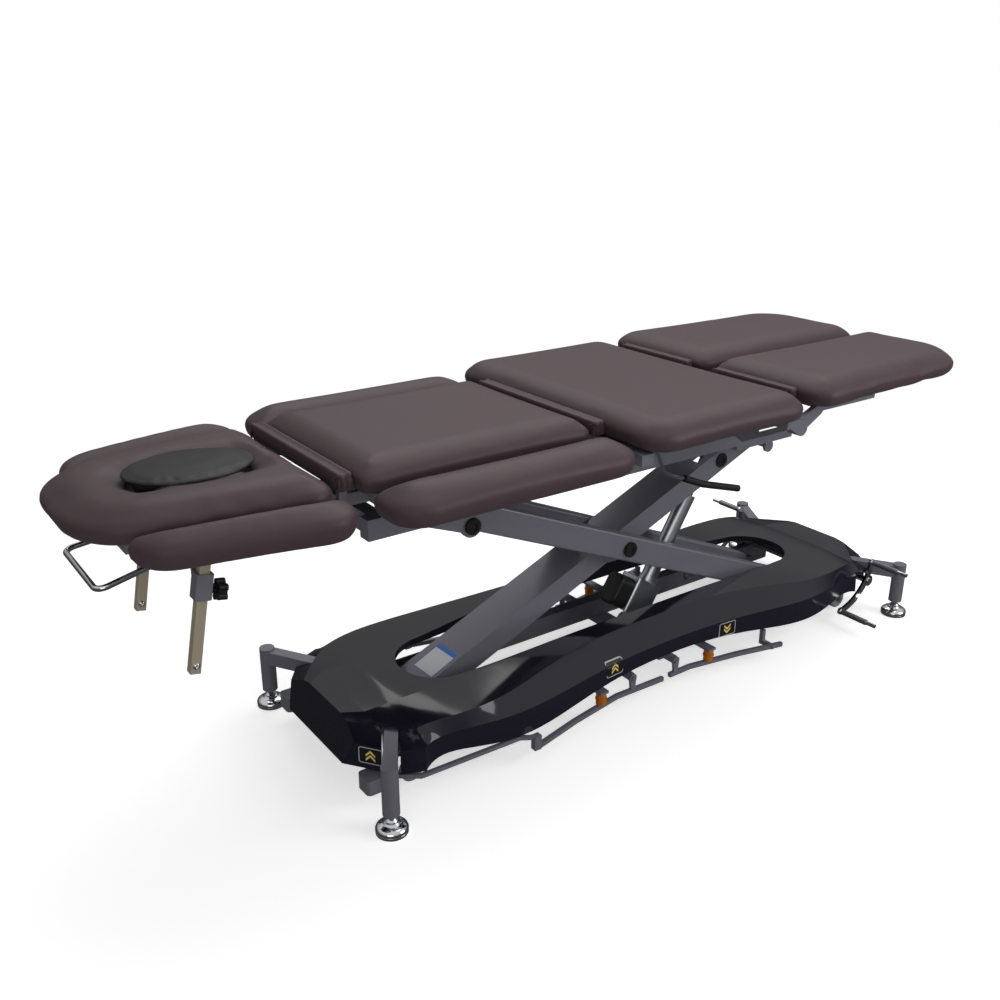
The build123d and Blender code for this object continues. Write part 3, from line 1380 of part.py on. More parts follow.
with BuildPart() as release_lever:
    add(lever_sweep(lever_points[:4], side_lever_rod_radius, bar_rod_radius))
    add(cylinder_y(side_lever_x, side_lever_z, side_lever_y - side_lever_boss_width / 2,
                   side_lever_y + side_lever_boss_width / 2, side_lever_boss))
    add(cylinder_y(side_lever_x, side_lever_z, side_lever_y - side_lever_boss,
                   side_lever_y + side_lever_boss, knuckle_pin_radius + pin_fit), mode=Mode.SUBTRACT)
save(release_lever, "release_lever")

(root_x, root_z), (bend_x, bend_z) = lever_points[3], lever_points[4]
grip_start = (root_x + (bend_x - root_x) * grip_gap_share, root_z + (bend_z - root_z) * grip_gap_share)
with BuildPart() as lever_grip:
    add(lever_sweep([grip_start] + lever_points[4:], side_lever_grip_radius, bar_corner))
save(lever_grip, "lever_grip")

# Pads
back_head_x = head_hinge_x + pad_gap
back_foot_x = back_hinge_x - pad_gap
seat_head_edge = back_hinge_x + pad_gap
seat_foot_edge = leg_hinge_x - leg_gap_head
leg_head_edge = leg_hinge_x + leg_gap_foot
pads = {
    "pelvis_pad": ([(seat_head_edge, -half_width), (seat_foot_edge, -half_width), (seat_foot_edge, half_width),
                    (seat_head_edge, half_width)], [seat_corner] * 4, pad_bottom, pad_top),
    "back_pad": ([(back_head_x, -back_pad_half), (back_foot_x, -back_pad_half), (back_foot_x, back_pad_half),
                  (back_head_x, back_pad_half)], [back_corner] * 4, pad_bottom, pad_top - back_pad_drop),
}
for side, word in ((-1, "near"), (1, "far")):
    wing_foot_x = back_hinge_x + wing_foot_gap
    pads["back_wing_" + word] = (
        [(back_head_x, side * wing_inner), (wing_foot_x, side * wing_inner), (wing_foot_x, side * half_width),
         (back_head_x, side * half_width)][::side],
        [wing_tight_corner, wing_tight_corner, wing_corner, wing_corner][::side], wing_bottom, wing_top)
    pads["armrest_pad_" + word] = (
        [(armrest_rear_x, side * armrest_rear_inner), (armrest_front_x, side * armrest_front_inner),
         (armrest_front_x + armrest_front_step, side * armrest_front_outer),
         (armrest_rear_x, side * armrest_outer_rear)],
        [wing_tight_corner, armrest_tip, armrest_corner, wing_corner], armrest_bottom, armrest_top)
    pads["leg_pad_" + word] = (
        [(leg_head_edge, side * leg_split / 2), (half_length, side * leg_split / 2),
         (half_length, side * (half_width - leg_foot_taper)), (leg_head_edge, side * half_width)],
        [leg_corner_inner, leg_corner_inner, leg_corner_foot, leg_corner_hinge], leg_pad_bottom, leg_pad_top)
for pad_name, (corners, radii, bottom, top) in pads.items():
    rim = armrest_rim if "armrest" in pad_name else rim_width
    with BuildPart() as pad:
        add(cushion(corners, radii, bottom, top, rim))
    save(pad, pad_name)

# Head pad with its breathing hole, and the plug that closes it
head_rear_x = head_hinge_x - pad_gap
with BuildPart() as head_pad:
    add(cushion([(head_rear_x, head_half), (-half_length, head_nose_half),
                 (-half_length, -head_nose_half), (head_rear_x, -head_half)],
                [head_corner, head_nose_radius, head_nose_radius, head_corner],
                head_pad_bottom, head_pad_top))
    with BuildSketch(Plane.XY.offset(head_pad_bottom - overrun)):
        with Locations((plug_x, 0)):
            Ellipse(plug_half_length - plug_body_inset + plug_clearance,
                    plug_half_width - plug_body_inset + plug_clearance)
    extrude(amount=head_pad_top - head_pad_bottom + 2 * overrun, mode=Mode.SUBTRACT)
    with BuildSketch(Plane.XY.offset(plug_flange_bottom - plug_clearance)):
        with Locations((plug_x, 0)):
            Ellipse(plug_half_length + plug_clearance, plug_half_width + plug_clearance)
    extrude(amount=overrun, mode=Mode.SUBTRACT)
save(head_pad, "head_pad")

with BuildPart() as head_plug:
    with BuildSketch(Plane.XY.offset(plug_flange_bottom)):
        with Locations((plug_x, 0)):
            Ellipse(plug_half_length, plug_half_width)
    extrude(amount=plug_flange_height)
    fillet(head_plug.faces().sort_by(Axis.Z)[-1].edges(), plug_edge)
    with BuildSketch(Plane.XY.offset(plug_flange_bottom - plug_body_depth)):
        with Locations((plug_x, 0)):
            Ellipse(plug_half_length - plug_body_inset, plug_half_width - plug_body_inset)
    extrude(amount=plug_body_depth)
save(head_plug, "head_plug")

# Leg frames
for side, word in ((-1, "near"), (1, "far")):
    with BuildPart() as leg_frame:
        inner, outer = side * leg_knuckle_y, side * (leg_knuckle_y + leg_knuckle_width)
        add(link_y(leg_hinge_x, leg_hinge_z, leg_knuckle_radius, leg_arm_start, leg_pad_bottom - leg_knuckle_width,
                   leg_knuckle_width, inner, outer))
        add(block(leg_arm_start, leg_arm_end, inner, outer, leg_pad_bottom - leg_tube_height, leg_pad_bottom))
        for slat_x in (leg_arm_start + leg_slat_width, leg_arm_end - leg_slat_width):
            add(block(slat_x - leg_slat_width / 2, slat_x + leg_slat_width / 2, side * leg_slat_inner, outer,
                      leg_pad_bottom - leg_tube_height, leg_pad_bottom))
        add(cylinder_y(leg_hinge_x, leg_hinge_z, inner, outer, leg_pin_radius + pin_fit), mode=Mode.SUBTRACT)
    save(leg_frame, "leg_frame_" + word)

# Folded upholstery strips in the gaps between the sections
leg_strip_x = leg_head_edge - face_gap - leg_strip_width / 2
strips = {
    "gap_strip_head": (head_hinge_x, strip_width, -head_strip_half, head_strip_half, strip_bottom),
    "gap_strip_back": (back_hinge_x, strip_width, -back_strip_half, back_strip_half, strip_bottom),
    "gap_strip_leg_near": (leg_strip_x, leg_strip_width, -leg_strip_outer, -leg_strip_inner, leg_strip_bottom),
    "gap_strip_leg_far": (leg_strip_x, leg_strip_width, leg_strip_inner, leg_strip_outer, leg_strip_bottom),
}
for strip_name, (middle_x, width, y0, y1, low) in strips.items():
    with BuildPart() as gap_strip:
        add(block(middle_x - width / 2, middle_x + width / 2, y0, y1, low, low + strip_thickness))
    save(gap_strip, strip_name)
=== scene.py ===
# %% [markdown]
# # A physiotherapy table with a scissor lift
# The steel, the joints and the solid pads come from a CAD model, which is loaded
# first and never moved. Blender adds what CAD does badly: soft upholstery, finishes
# and small fittings. Every length is in metres, X towards the foot end, Z up.

# %% Load the frame
import json
import bmesh
import bpy
from math import cos, pi, radians, sin
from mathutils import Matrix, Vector
from mathutils.bvhtree import BVHTree
from mathutils.kdtree import KDTree


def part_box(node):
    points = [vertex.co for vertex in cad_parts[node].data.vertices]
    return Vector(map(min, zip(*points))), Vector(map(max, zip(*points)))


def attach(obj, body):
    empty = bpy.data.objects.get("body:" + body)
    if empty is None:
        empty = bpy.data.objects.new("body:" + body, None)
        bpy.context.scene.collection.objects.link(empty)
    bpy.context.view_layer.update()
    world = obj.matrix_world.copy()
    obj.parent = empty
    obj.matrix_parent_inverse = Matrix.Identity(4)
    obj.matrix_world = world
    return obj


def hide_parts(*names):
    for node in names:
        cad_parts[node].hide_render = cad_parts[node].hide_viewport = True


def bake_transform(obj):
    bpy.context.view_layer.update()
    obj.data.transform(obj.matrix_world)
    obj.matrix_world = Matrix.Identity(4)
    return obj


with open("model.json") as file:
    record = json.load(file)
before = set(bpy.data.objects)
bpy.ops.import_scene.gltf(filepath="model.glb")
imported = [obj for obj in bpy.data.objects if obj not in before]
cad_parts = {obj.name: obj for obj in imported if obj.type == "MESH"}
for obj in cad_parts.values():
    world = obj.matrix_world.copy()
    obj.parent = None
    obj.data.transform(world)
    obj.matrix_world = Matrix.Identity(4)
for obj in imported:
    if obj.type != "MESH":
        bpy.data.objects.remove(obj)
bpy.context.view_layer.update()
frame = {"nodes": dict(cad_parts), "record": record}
nodes = frame["nodes"]
mm = 0.001

# %% [markdown]
# ## The camera
# The photograph looks down on the head end from the near side. Its place was worked
# out from the eight ends of the feet and pads, so it is given as plain numbers: where
# the lens stands, how far it turns from +Y towards +X, and how far it looks down. The
# picture is square, and the lens's focal length is known in its pixels.

# %% Camera
picture_side = 1000
focal_pixels = 1046.08
sensor_width = 36.0
camera_place = (-1.29866, -1.62814, 1.22645)
camera_turn, camera_dip = 35.45, 20.98


def in_scene(name, data):
    """A new object in the scene, for the data of a camera, a mesh or a lamp."""
    item = bpy.data.objects.new(name, data)
    bpy.context.scene.collection.objects.link(item)
    return item


camera_data = bpy.data.cameras.new("camera")
camera_data.sensor_width = sensor_width
camera_data.lens = sensor_width * focal_pixels / picture_side
camera = in_scene("camera", camera_data)
camera.location = camera_place
camera.rotation_euler = (radians(90 - camera_dip), 0, radians(-camera_turn))
bpy.context.scene.camera = camera
camera_axes = camera.rotation_euler.to_matrix()
print("lens", round(camera_data.lens, 2), "mm")


def sight_line(px, py):
    """The direction in which the lens sees a point of the picture."""
    centre = picture_side / 2
    ahead = Vector(((px - centre) / focal_pixels, (centre - py) / focal_pixels, -1.0))
    return (camera_axes @ ahead).normalized()


# %% [markdown]
# ## Small tools for materials
# Paint and leather colours are easiest to name as sRGB hex values, as a paint chart
# does, but the renderer works in linear light, so one function converts them. A
# second one adds a node with its settings and its links in a single line. Most
# finishes here are two close shades of one colour in soft patches, which a third adds.

# %% Colour and node helpers
def linear(hex_colour):
    """Turns an sRGB hex colour into the linear RGBA that a shader socket takes."""
    steps = [int(hex_colour[i:i + 2], 16) / 255 for i in (1, 3, 5)]
    return [s / 12.92 if s <= 0.04045 else ((s + 0.055) / 1.055) ** 2.4 for s in steps] + [1.0]


def add_node(tree, kind, settings=None, inputs=None):
    """Adds one node. A value that is a socket is linked, and any other is set."""
    node = tree.nodes.new(kind)
    for name, value in (settings or {}).items():
        setattr(node, name, value)
    for name, value in (inputs or {}).items():
        if isinstance(value, bpy.types.NodeSocket):
            tree.links.new(value, node.inputs[name])
        else:
            node.inputs[name].default_value = value
    return node


def start_material(name, **surface):
    """A new material: its node tree, its shader and the object's own coordinates."""
    material = bpy.data.materials.new(name)
    material.use_nodes = True
    tree = material.node_tree
    shader = tree.nodes["Principled BSDF"]
    for socket, value in surface.items():
        shader.inputs[socket.replace("_", " ")].default_value = value
    place = add_node(tree, "ShaderNodeTexCoord").outputs["Object"]
    return material, tree, shader, place


def two_shades(tree, shader, place, first, second, scale, detail):
    """Patches of two close colours over the surface, and the noise that places them."""
    patches = add_node(tree, "ShaderNodeTexNoise",
                       inputs={"Vector": place, "Scale": scale, "Detail": detail}).outputs["Fac"]
    tint = add_node(tree, "ShaderNodeMix", {"data_type": "RGBA"})
    tree.links.new(patches, tint.inputs["Factor"])
    tint.inputs["A"].default_value = linear(first)
    tint.inputs["B"].default_value = linear(second)
    tree.links.new(tint.outputs["Result"], shader.inputs["Base Color"])
    return patches


# %% [markdown]
# ## Artificial leather
# The covers are PVC leathercloth: a knitted back with a skin of soft vinyl, embossed
# with a fine pebble while it is hot. A Voronoi pattern gives the pebbles. The real
# ones are near 0.8 mm, too fine to show at this distance, so they are drawn at 2 mm.
# Patches of two close browns, about 200 mm wide, keep the colour from being flat, and
# they vary the roughness a little too, as hands and cloths polish such a cover.

# %% Leathercloth, brown for the covers and black for the plug
pebble_size, pebble_height = 2.0 * mm, 0.3 * mm
patch_size = 200 * mm
creases_per_metre, crease_height = 38.0, 1.2 * mm


def leathercloth(name, light, dark, gloss, pebble):
    """Embossed vinyl. gloss is the roughness, and pebble the strength of the grain."""
    material, tree, shader, place = start_material(name, Roughness=gloss, IOR=1.5)
    shader.inputs["Specular IOR Level"].default_value = 0.27
    shader.inputs["Sheen Weight"].default_value = 0.03
    shader.inputs["Sheen Roughness"].default_value = 0.45
    patches = two_shades(tree, shader, place, dark, light, 1 / patch_size, 3.0)
    polish = add_node(tree, "ShaderNodeMapRange", inputs={
        "Value": patches, "To Min": gloss - 0.04, "To Max": gloss + 0.06})
    tree.links.new(polish.outputs["Result"], shader.inputs["Roughness"])
    grain = add_node(tree, "ShaderNodeTexVoronoi", {"feature": "SMOOTH_F1"},
                     {"Vector": place, "Scale": 1 / pebble_size, "Smoothness": 0.6})
    creases = add_node(tree, "ShaderNodeTexNoise",
                       inputs={"Vector": place, "Scale": creases_per_metre, "Detail": 4.0})
    fine = add_node(tree, "ShaderNodeBump", inputs={
        "Strength": pebble, "Distance": pebble_height, "Height": grain.outputs["Distance"]})
    soft = add_node(tree, "ShaderNodeBump", inputs={
        "Strength": 0.25, "Distance": crease_height, "Height": creases.outputs["Fac"],
        "Normal": fine.outputs["Normal"]})
    tree.links.new(soft.outputs["Normal"], shader.inputs["Normal"])
    return material


brown_leathercloth = leathercloth("pvc_leathercloth_brown", "#4F3E43", "#443539", 0.47, 0.35)
black_leathercloth = leathercloth("pvc_leathercloth_black", "#1C1C1D", "#161617", 0.46, 0.30)
print("leathercloth with pebbles of", pebble_size / mm, "mm")

# %% [markdown]
# ## Paint and plastic
# The steel is powder coated in a dark blue grey with fine metal flake. Powder melts
# into a skin with a faint orange peel, a wave of about 3 mm. The base cover is
# vacuum formed from ABS with an acrylic face, so it mirrors its surroundings sharply.
# Moulded fittings are glass filled nylon, which has a dull, sparked texture. One
# helper makes them all, because they differ only in colours, gloss and bump size.

# %% Powder coat, gloss cover, nylon and rubbers
skin_height = 0.2 * mm
speck_share = 0.6


def skin(name, colour, second, size, depth, detail, **surface):
    """A painted or moulded skin: two close colours, and bumps of the given size."""
    material, tree, shader, place = start_material(name, **surface)
    two_shades(tree, shader, place, colour, second, speck_share / size, 2.0)
    peel = add_node(tree, "ShaderNodeTexNoise",
                    inputs={"Vector": place, "Scale": 1 / size, "Detail": detail})
    bump = add_node(tree, "ShaderNodeBump", inputs={
        "Strength": depth, "Distance": skin_height, "Height": peel.outputs["Fac"]})
    tree.links.new(bump.outputs["Normal"], shader.inputs["Normal"])
    return material


powder_coat = skin("powder_coat_blue_grey", "#84838E", "#7B7A85", 3 * mm, 0.25, 1.0,
                   Roughness=0.38, Metallic=0.35)
gloss_abs = skin("acrylic_faced_abs_black", "#1D1B27", "#201E2B", 60 * mm, 0.06, 0.0,
                 Roughness=0.07, IOR=1.45)
nylon = skin("glass_filled_nylon_black", "#19191B", "#131315", 1.2 * mm, 0.45, 2.0, Roughness=0.48)
black_rubber = skin("moulded_rubber_black", "#161616", "#101010", 2 * mm, 0.40, 2.0, Roughness=0.68)
grey_rubber = skin("tread_rubber_grey", "#8E8F8F", "#848586", 2 * mm, 0.30, 2.0, Roughness=0.60)
amber_rubber = skin("cast_polyurethane_amber", "#C8741C", "#B4620F", 4 * mm, 0.20, 2.0, Roughness=0.28)
amber_shader = amber_rubber.node_tree.nodes["Principled BSDF"]
amber_shader.inputs["Subsurface Weight"].default_value = 0.25
amber_shader.inputs["Subsurface Radius"].default_value = (6 * mm, 3 * mm, 1 * mm)
print("skins:", [m.name for m in (powder_coat, gloss_abs, nylon, black_rubber, grey_rubber, amber_rubber)])

# %% [markdown]
# ## Bare metals
# Chrome plate is nearly a mirror. The zinc plate of the castor forks is duller and
# cloudy. The actuator's tube is anodised aluminium, drawn through a die, so its
# scratches run along it. The armrest tubes are nickel plated and rubbed dull, a
# warmer metal. It is set only half metallic, so that its pale straw colour holds in
# the shade too.

# %% Chrome, nickel, zinc and anodised aluminium
mark_strength, mark_height = 0.08, 0.1 * mm


def metal(name, colour, rough, spread, size, stretch=(1, 1, 1), metallic=1.0):
    """A bare metal whose roughness varies by spread over marks of the given size."""
    material, tree, shader, place = start_material(
        name, Metallic=metallic, Base_Color=linear(colour))
    drawn = add_node(tree, "ShaderNodeMapping", inputs={"Vector": place, "Scale": stretch})
    marks = add_node(tree, "ShaderNodeTexNoise", inputs={
        "Vector": drawn.outputs["Vector"], "Scale": 1 / size, "Detail": 4.0})
    rub = add_node(tree, "ShaderNodeMapRange", inputs={
        "Value": marks.outputs["Fac"], "To Min": rough - spread, "To Max": rough + spread})
    tree.links.new(rub.outputs["Result"], shader.inputs["Roughness"])
    bump = add_node(tree, "ShaderNodeBump", inputs={
        "Strength": mark_strength, "Distance": mark_height, "Height": marks.outputs["Fac"]})
    tree.links.new(bump.outputs["Normal"], shader.inputs["Normal"])
    return material


chrome = metal("chrome_plate", "#D6D8DB", 0.09, 0.03, 8 * mm)
nickel = metal("nickel_plate", "#D6C8AF", 0.30, 0.05, 6 * mm, (1, 1, 0.15), metallic=0.55)
zinc = metal("zinc_plate", "#AEB0B4", 0.34, 0.10, 5 * mm)
anodised = metal("anodised_aluminium", "#C9CCD3", 0.34, 0.05, 2 * mm, (0.08, 1, 0.08))

# %% [markdown]
# The pedal sleeves are aluminium with a knurl, which two grooved wheels roll into the
# bar. Two sets of slanting waves are multiplied, so they leave small diamonds. The
# waves of Blender's wave texture are 0.31 units apart, which sets their scale.

# %% Knurled aluminium
knurl_slant = radians(35)
wave_gap = 0.31


def crossed_knurl(name, colour, size):
    """Rolled aluminium: two sets of slanting grooves that cross in small diamonds."""
    material, tree, shader, place = start_material(
        name, Metallic=1.0, Roughness=0.42, Base_Color=linear(colour))
    grooves = []
    for turn in (knurl_slant, -knurl_slant):
        slant = add_node(tree, "ShaderNodeMapping", inputs={"Vector": place, "Rotation": (turn, 0, 0)})
        wave = add_node(tree, "ShaderNodeTexWave", {"bands_direction": "Y"}, {
            "Vector": slant.outputs["Vector"], "Scale": wave_gap / size, "Distortion": 0.0})
        grooves.append(wave.outputs["Fac"])
    both = add_node(tree, "ShaderNodeMath", {"operation": "MULTIPLY"}, {0: grooves[0], 1: grooves[1]})
    bump = add_node(tree, "ShaderNodeBump", inputs={
        "Strength": 0.8, "Distance": 0.4 * mm, "Height": both.outputs[0]})
    tree.links.new(bump.outputs["Normal"], shader.inputs["Normal"])
    return material


knurled = crossed_knurl("knurled_aluminium", "#8F9098", 2 * mm)
print("metals:", [m.name for m in (chrome, nickel, zinc, anodised, knurled)])

# %% [markdown]
# ## Finishes for the CAD parts
# The record says which finish each part takes, so one table turns the record's words
# into materials. Two kinds of part have a finish of their own: the armrest tubes are
# nickel where other bright steel is chrome, and the pedal sleeves are knurled.

# %% Give every CAD part its finish
finishes = {
    "upholstery": brown_leathercloth, "plug_leather": black_leathercloth,
    "frame_metal": powder_coat, "cover_gloss": gloss_abs,
    "chrome": chrome, "zinc_steel": zinc, "actuator_aluminium": anodised,
    "black_plastic": nylon, "black_rubber": black_rubber,
    "grey_rubber": grey_rubber, "amber_rubber": amber_rubber,
}
special = {"armrest_support_near": nickel, "armrest_support_far": nickel, "pedal_sleeves": knurled}
for part in frame["record"]["subparts"]:
    part_mesh = nodes[part["node"]].data
    part_mesh.materials.clear()
    part_mesh.materials.append(special.get(part["node"], finishes[part["material_slot"]]))

# %% [markdown]
# ## Stuffed pads
# A pad is a slab of foam on a board, with leathercloth pulled over it and stapled
# underneath. Pulling rounds the edges and crowns the top. Cloth simulation with a
# little inner pressure does the same: the slab is remeshed into an even net, drawn in
# a little, blown up, and each point is kept near where it started, so that neighbours
# never touch. The underside stays flat, because the board is there.

# %% Pieces and nets
def new_piece(name, body, material, mesh=None):
    """A new object with its material, riding on a CAD body where one is given."""
    piece = in_scene(name, mesh or bpy.data.meshes.new(name))
    piece.data.materials.clear()
    piece.data.materials.append(material)
    if body:
        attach(piece, body)
    return piece


def merged_copy(source):
    """A welded copy of a CAD part's mesh, which comes as loose triangles."""
    shell = bmesh.new()
    shell.from_mesh(nodes[source].data)
    bmesh.ops.remove_doubles(shell, verts=shell.verts, dist=0.01 * mm)
    mesh = bpy.data.meshes.new(source + "_shell")
    shell.to_mesh(mesh)
    shell.free()
    return mesh


def remeshed(mesh, voxel):
    """The same shape as an even net of small squares."""
    holder = in_scene("remesh_holder", mesh)
    net = holder.modifiers.new("net", "REMESH")
    net.mode = "VOXEL"
    net.voxel_size = voxel
    even = bpy.data.meshes.new_from_object(holder.evaluated_get(bpy.context.evaluated_depsgraph_get()))
    bpy.data.objects.remove(holder)
    return even


def softened(net, rounds):
    """Moves each point of a net halfway to the middle of its neighbours, in rounds."""
    for _ in range(rounds):
        bmesh.ops.smooth_vert(net, verts=net.verts, factor=0.5,
                              use_axis_x=True, use_axis_y=True, use_axis_z=True)


def blown_up(mesh, pressure, frames=20):
    """Lets cloth with inner pressure settle, and returns where its points end."""
    holder = in_scene("cloth_holder", mesh.copy())
    cloth = holder.modifiers.new("cloth", "CLOTH")
    cloth.settings.use_pressure = True
    cloth.settings.uniform_pressure_force = pressure
    cloth.settings.mass = 0.3
    cloth.settings.tension_stiffness = 18
    cloth.settings.compression_stiffness = 18
    cloth.settings.bending_stiffness = 2.0
    cloth.settings.effector_weights.gravity = 0
    cloth.point_cache.frame_start = 1
    cloth.point_cache.frame_end = frames
    for number in range(1, frames + 1):
        bpy.context.scene.frame_set(number)
    settled = holder.evaluated_get(bpy.context.evaluated_depsgraph_get())
    places = [v.co.copy() for v in settled.data.vertices]
    bpy.context.scene.frame_set(1)
    bpy.data.objects.remove(holder)
    return places


# %% [markdown]
# Two more things make a pad look pulled over its board. Its top falls towards the
# outline, where the foam is thinner, while the sides are drawn in under it. And the
# leather is bunched into small folds at the corners. Both are simple moves of the
# points. The walls of the breathing hole are no outline, so the top stays level there.

# %% Thin edges and gathered corners
hole_reach = 95 * mm


def by_the_hole(v, hole):
    """Whether a point is on the breathing hole's wall or rim, in a pad that has one."""
    return hole is not None and (v.co.xy - hole).length < hole_reach


def corner_gathers(net, low, high, reach=34 * mm, wide=11 * mm, deep=1.5 * mm):
    """Small folds in the sides near the corners, where leather is bunched under a pad."""
    fold_height = (high.z - low.z) * 0.8
    side_slope = 0.6
    for v in net.verts:
        if abs(v.normal.z) > side_slope:
            continue
        from_end = min(v.co.x - low.x, high.x - v.co.x)
        from_side = min(v.co.y - low.y, high.y - v.co.y)
        near = max(from_end, from_side)
        if near > reach:
            continue
        down = max(0.0, min(1.0, (high.z - v.co.z) / fold_height))
        fold = 0.5 + 0.5 * cos((v.co.x - v.co.y) / wide * 2 * pi)
        v.co -= v.normal * deep * fold * down * (1 - near / reach)


def thin_edges(net, low, high, drop, hole, reach=55 * mm, tuck=7 * mm):
    """Lets the top fall towards the outline and draws the sides in under the pad."""
    tall = high.z - low.z
    band_low, band_high = low.z + 0.3 * tall, low.z + 0.7 * tall
    upright = 0.5
    walls = [v for v in net.verts if band_low < v.co.z < band_high
             and abs(v.normal.z) < upright and not by_the_hole(v, hole)]
    outline = KDTree(len(walls))
    for k, v in enumerate(walls):
        outline.insert((v.co.x, v.co.y, 0), k)
    outline.balance()
    moves = []
    for v in net.verts:
        away = outline.find((v.co.x, v.co.y, 0))[2]
        inside = min(1.0, away / reach)
        slope = 1 - inside * inside * (3 - 2 * inside)
        share = max(0.0, (v.co.z - low.z) / tall)
        flat = Vector((v.normal.x, v.normal.y, 0))
        moves.append(Vector((0, 0, -drop * slope * share)) - flat * tuck * (1 - share) ** 2)
    for v, move in zip(net.verts, moves):
        v.co += move


# %% [markdown]
# The stuffing helper puts these steps together. Every pad turns one CAD slab into one
# piece that stands for it. A last subdivision rounds the net.

# %% The stuffing helper
hole_rim_from, hole_rim_drop = 0.75, 0.8 * mm


def stuffed_pad(name, source, draw_in, side_cap, crown_cap, voxel=7.5 * mm, pressure=4.0, rounds=3,
                drop=11 * mm, hole=None, material=brown_leathercloth):
    """A pad stuffed from the CAD slab. The caps limit how far a point goes sideways and up."""
    slab = remeshed(merged_copy(source), voxel)
    low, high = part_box(source)
    net = bmesh.new()
    net.from_mesh(slab)
    net.normal_update()
    starts = [v.co.copy() for v in net.verts]
    for v in net.verts:
        v.co -= v.normal * draw_in
    softened(net, rounds)
    net.to_mesh(slab)
    ends = blown_up(slab, pressure)
    for v, start, end in zip(net.verts, starts, ends):
        move = end - start
        flat = Vector((move.x, move.y, 0))
        if flat.length > side_cap:
            flat *= side_cap / flat.length
        rise = min(move.z, crown_cap)
        v.co = Vector((start.x + flat.x, start.y + flat.y, max(start.z + rise, low.z)))
    softened(net, rounds)
    net.normal_update()
    thin_edges(net, low, high, drop, hole)
    net.normal_update()
    corner_gathers(net, low, high)
    rim_from = low.z + hole_rim_from * (high.z - low.z)
    for v in net.verts:
        v.co.z = max(v.co.z, low.z)
        if by_the_hole(v, hole) and v.co.z > rim_from:
            v.co.z = high.z - hole_rim_drop
    for face in net.faces:
        face.smooth = True
    net.to_mesh(slab)
    net.free()
    return new_piece(name, None, material, slab)


def put_pad(piece, source, body):
    """Rounds a pad's net, hangs it on the body it moves with, and hides the CAD slab."""
    rounding = piece.modifiers.new("rounding", "SUBSURF")
    rounding.levels = 1
    rounding.render_levels = 1
    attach(piece, body)
    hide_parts(source)
    print(piece.name, len(piece.data.polygons), "faces")


# %% [markdown]
# The pads are alike, so one table holds them: the CAD slab each one replaces and the
# body it moves with. Black fleece keeps dust out of the board below. It is a second
# material, on the faces that look down.

# %% Dust cover fleece
fleece = skin("spunbond_fleece_black", "#1D1D1E", "#262627", 1.5 * mm, 0.5, 3.0, Roughness=0.92)

# %% Stuff the pads
pads = {
    "pelvis_pad": "lift", "back_pad": "back", "head_pad": "head",
    "back_wing_near": "wing_near", "back_wing_far": "wing_far",
    "armrest_pad_near": "armrest_near", "armrest_pad_far": "armrest_far",
    "leg_pad_near": "leg_near", "leg_pad_far": "leg_far",
}
plug_low, plug_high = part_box("head_plug")
breathing_hole = ((plug_low + plug_high) / 2).xy
looks_down, fleece_reach = -0.97, 1.5 * mm
for source, body in pads.items():
    hole = breathing_hole if source == "head_pad" else None
    piece = stuffed_pad("soft_" + source, source, draw_in=1.5 * mm, side_cap=2.0 * mm,
                        crown_cap=5.0 * mm, hole=hole)
    piece.data.materials.append(fleece)
    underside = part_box(source)[0].z + fleece_reach
    for face in piece.data.polygons:
        if face.normal.z < looks_down and face.center.z < underside:
            face.material_index = 1
    put_pad(piece, source, body)

# %% [markdown]
# The loose plug for the breathing hole is a small stuffed pad of its own, in black.
# It is thinner, so its net is finer and its moves are smaller.

# %% Stuff the plug
plug = stuffed_pad("soft_head_plug", "head_plug", draw_in=1.0 * mm, side_cap=1.0 * mm,
                   crown_cap=3.0 * mm, voxel=4 * mm, rounds=2, drop=3 * mm,
                   material=black_leathercloth)
put_pad(plug, "head_plug", "plug")

# %% [markdown]
# ## Folded strips between the sections
# A strip of the same leathercloth bridges each gap. It is folded double along both
# edges, so it shows two soft rolls with a valley between, and each end is tucked
# down and hangs in small pleats. The sheet crosses a hinge. Its surface is a formula over
# the strip's length and breadth. A second layer lies one thickness below it, and a
# stitched border closes the two, because the folds are too tight for Solidify.

# %% Shape of a strip
strip_thick = 1.4 * mm
strip_rise = 3 * mm
tuck_radius = 7 * mm
run_steps, bend_steps, hang_steps, strip_columns = 46, 6, 8, 24
ripple_waves = ((0.35 * mm, 1.7, 0.0), (0.25 * mm, 0.6, 1.0))


def joined_rows(net, rows, finish=0):
    """Square faces between each row of points and the next."""
    for a, b in zip(rows, rows[1:]):
        for k in range(len(a) - 1):
            net.faces.new((a[k], b[k], b[k + 1], a[k + 1])).material_index = finish


def strip_line(start, end, hang):
    """Stations along a strip: the place on Y, the fall below the top, and the bend."""
    run = end - start - 2 * tuck_radius
    stations = [(start + tuck_radius + run * i / run_steps, 0.0, 0.0) for i in range(run_steps + 1)]
    for i in range(1, bend_steps + 1):
        bend = pi / 2 * i / bend_steps
        fall = -tuck_radius * (1 - cos(bend))
        stations.append((end - tuck_radius + tuck_radius * sin(bend), fall, bend))
        stations.insert(0, (start + tuck_radius - tuck_radius * sin(bend), fall, -bend))
    for i in range(1, hang_steps + 1):
        fall = -tuck_radius - hang * i / hang_steps
        stations.append((end, fall, pi / 2))
        stations.insert(0, (start, fall, -pi / 2))
    return stations


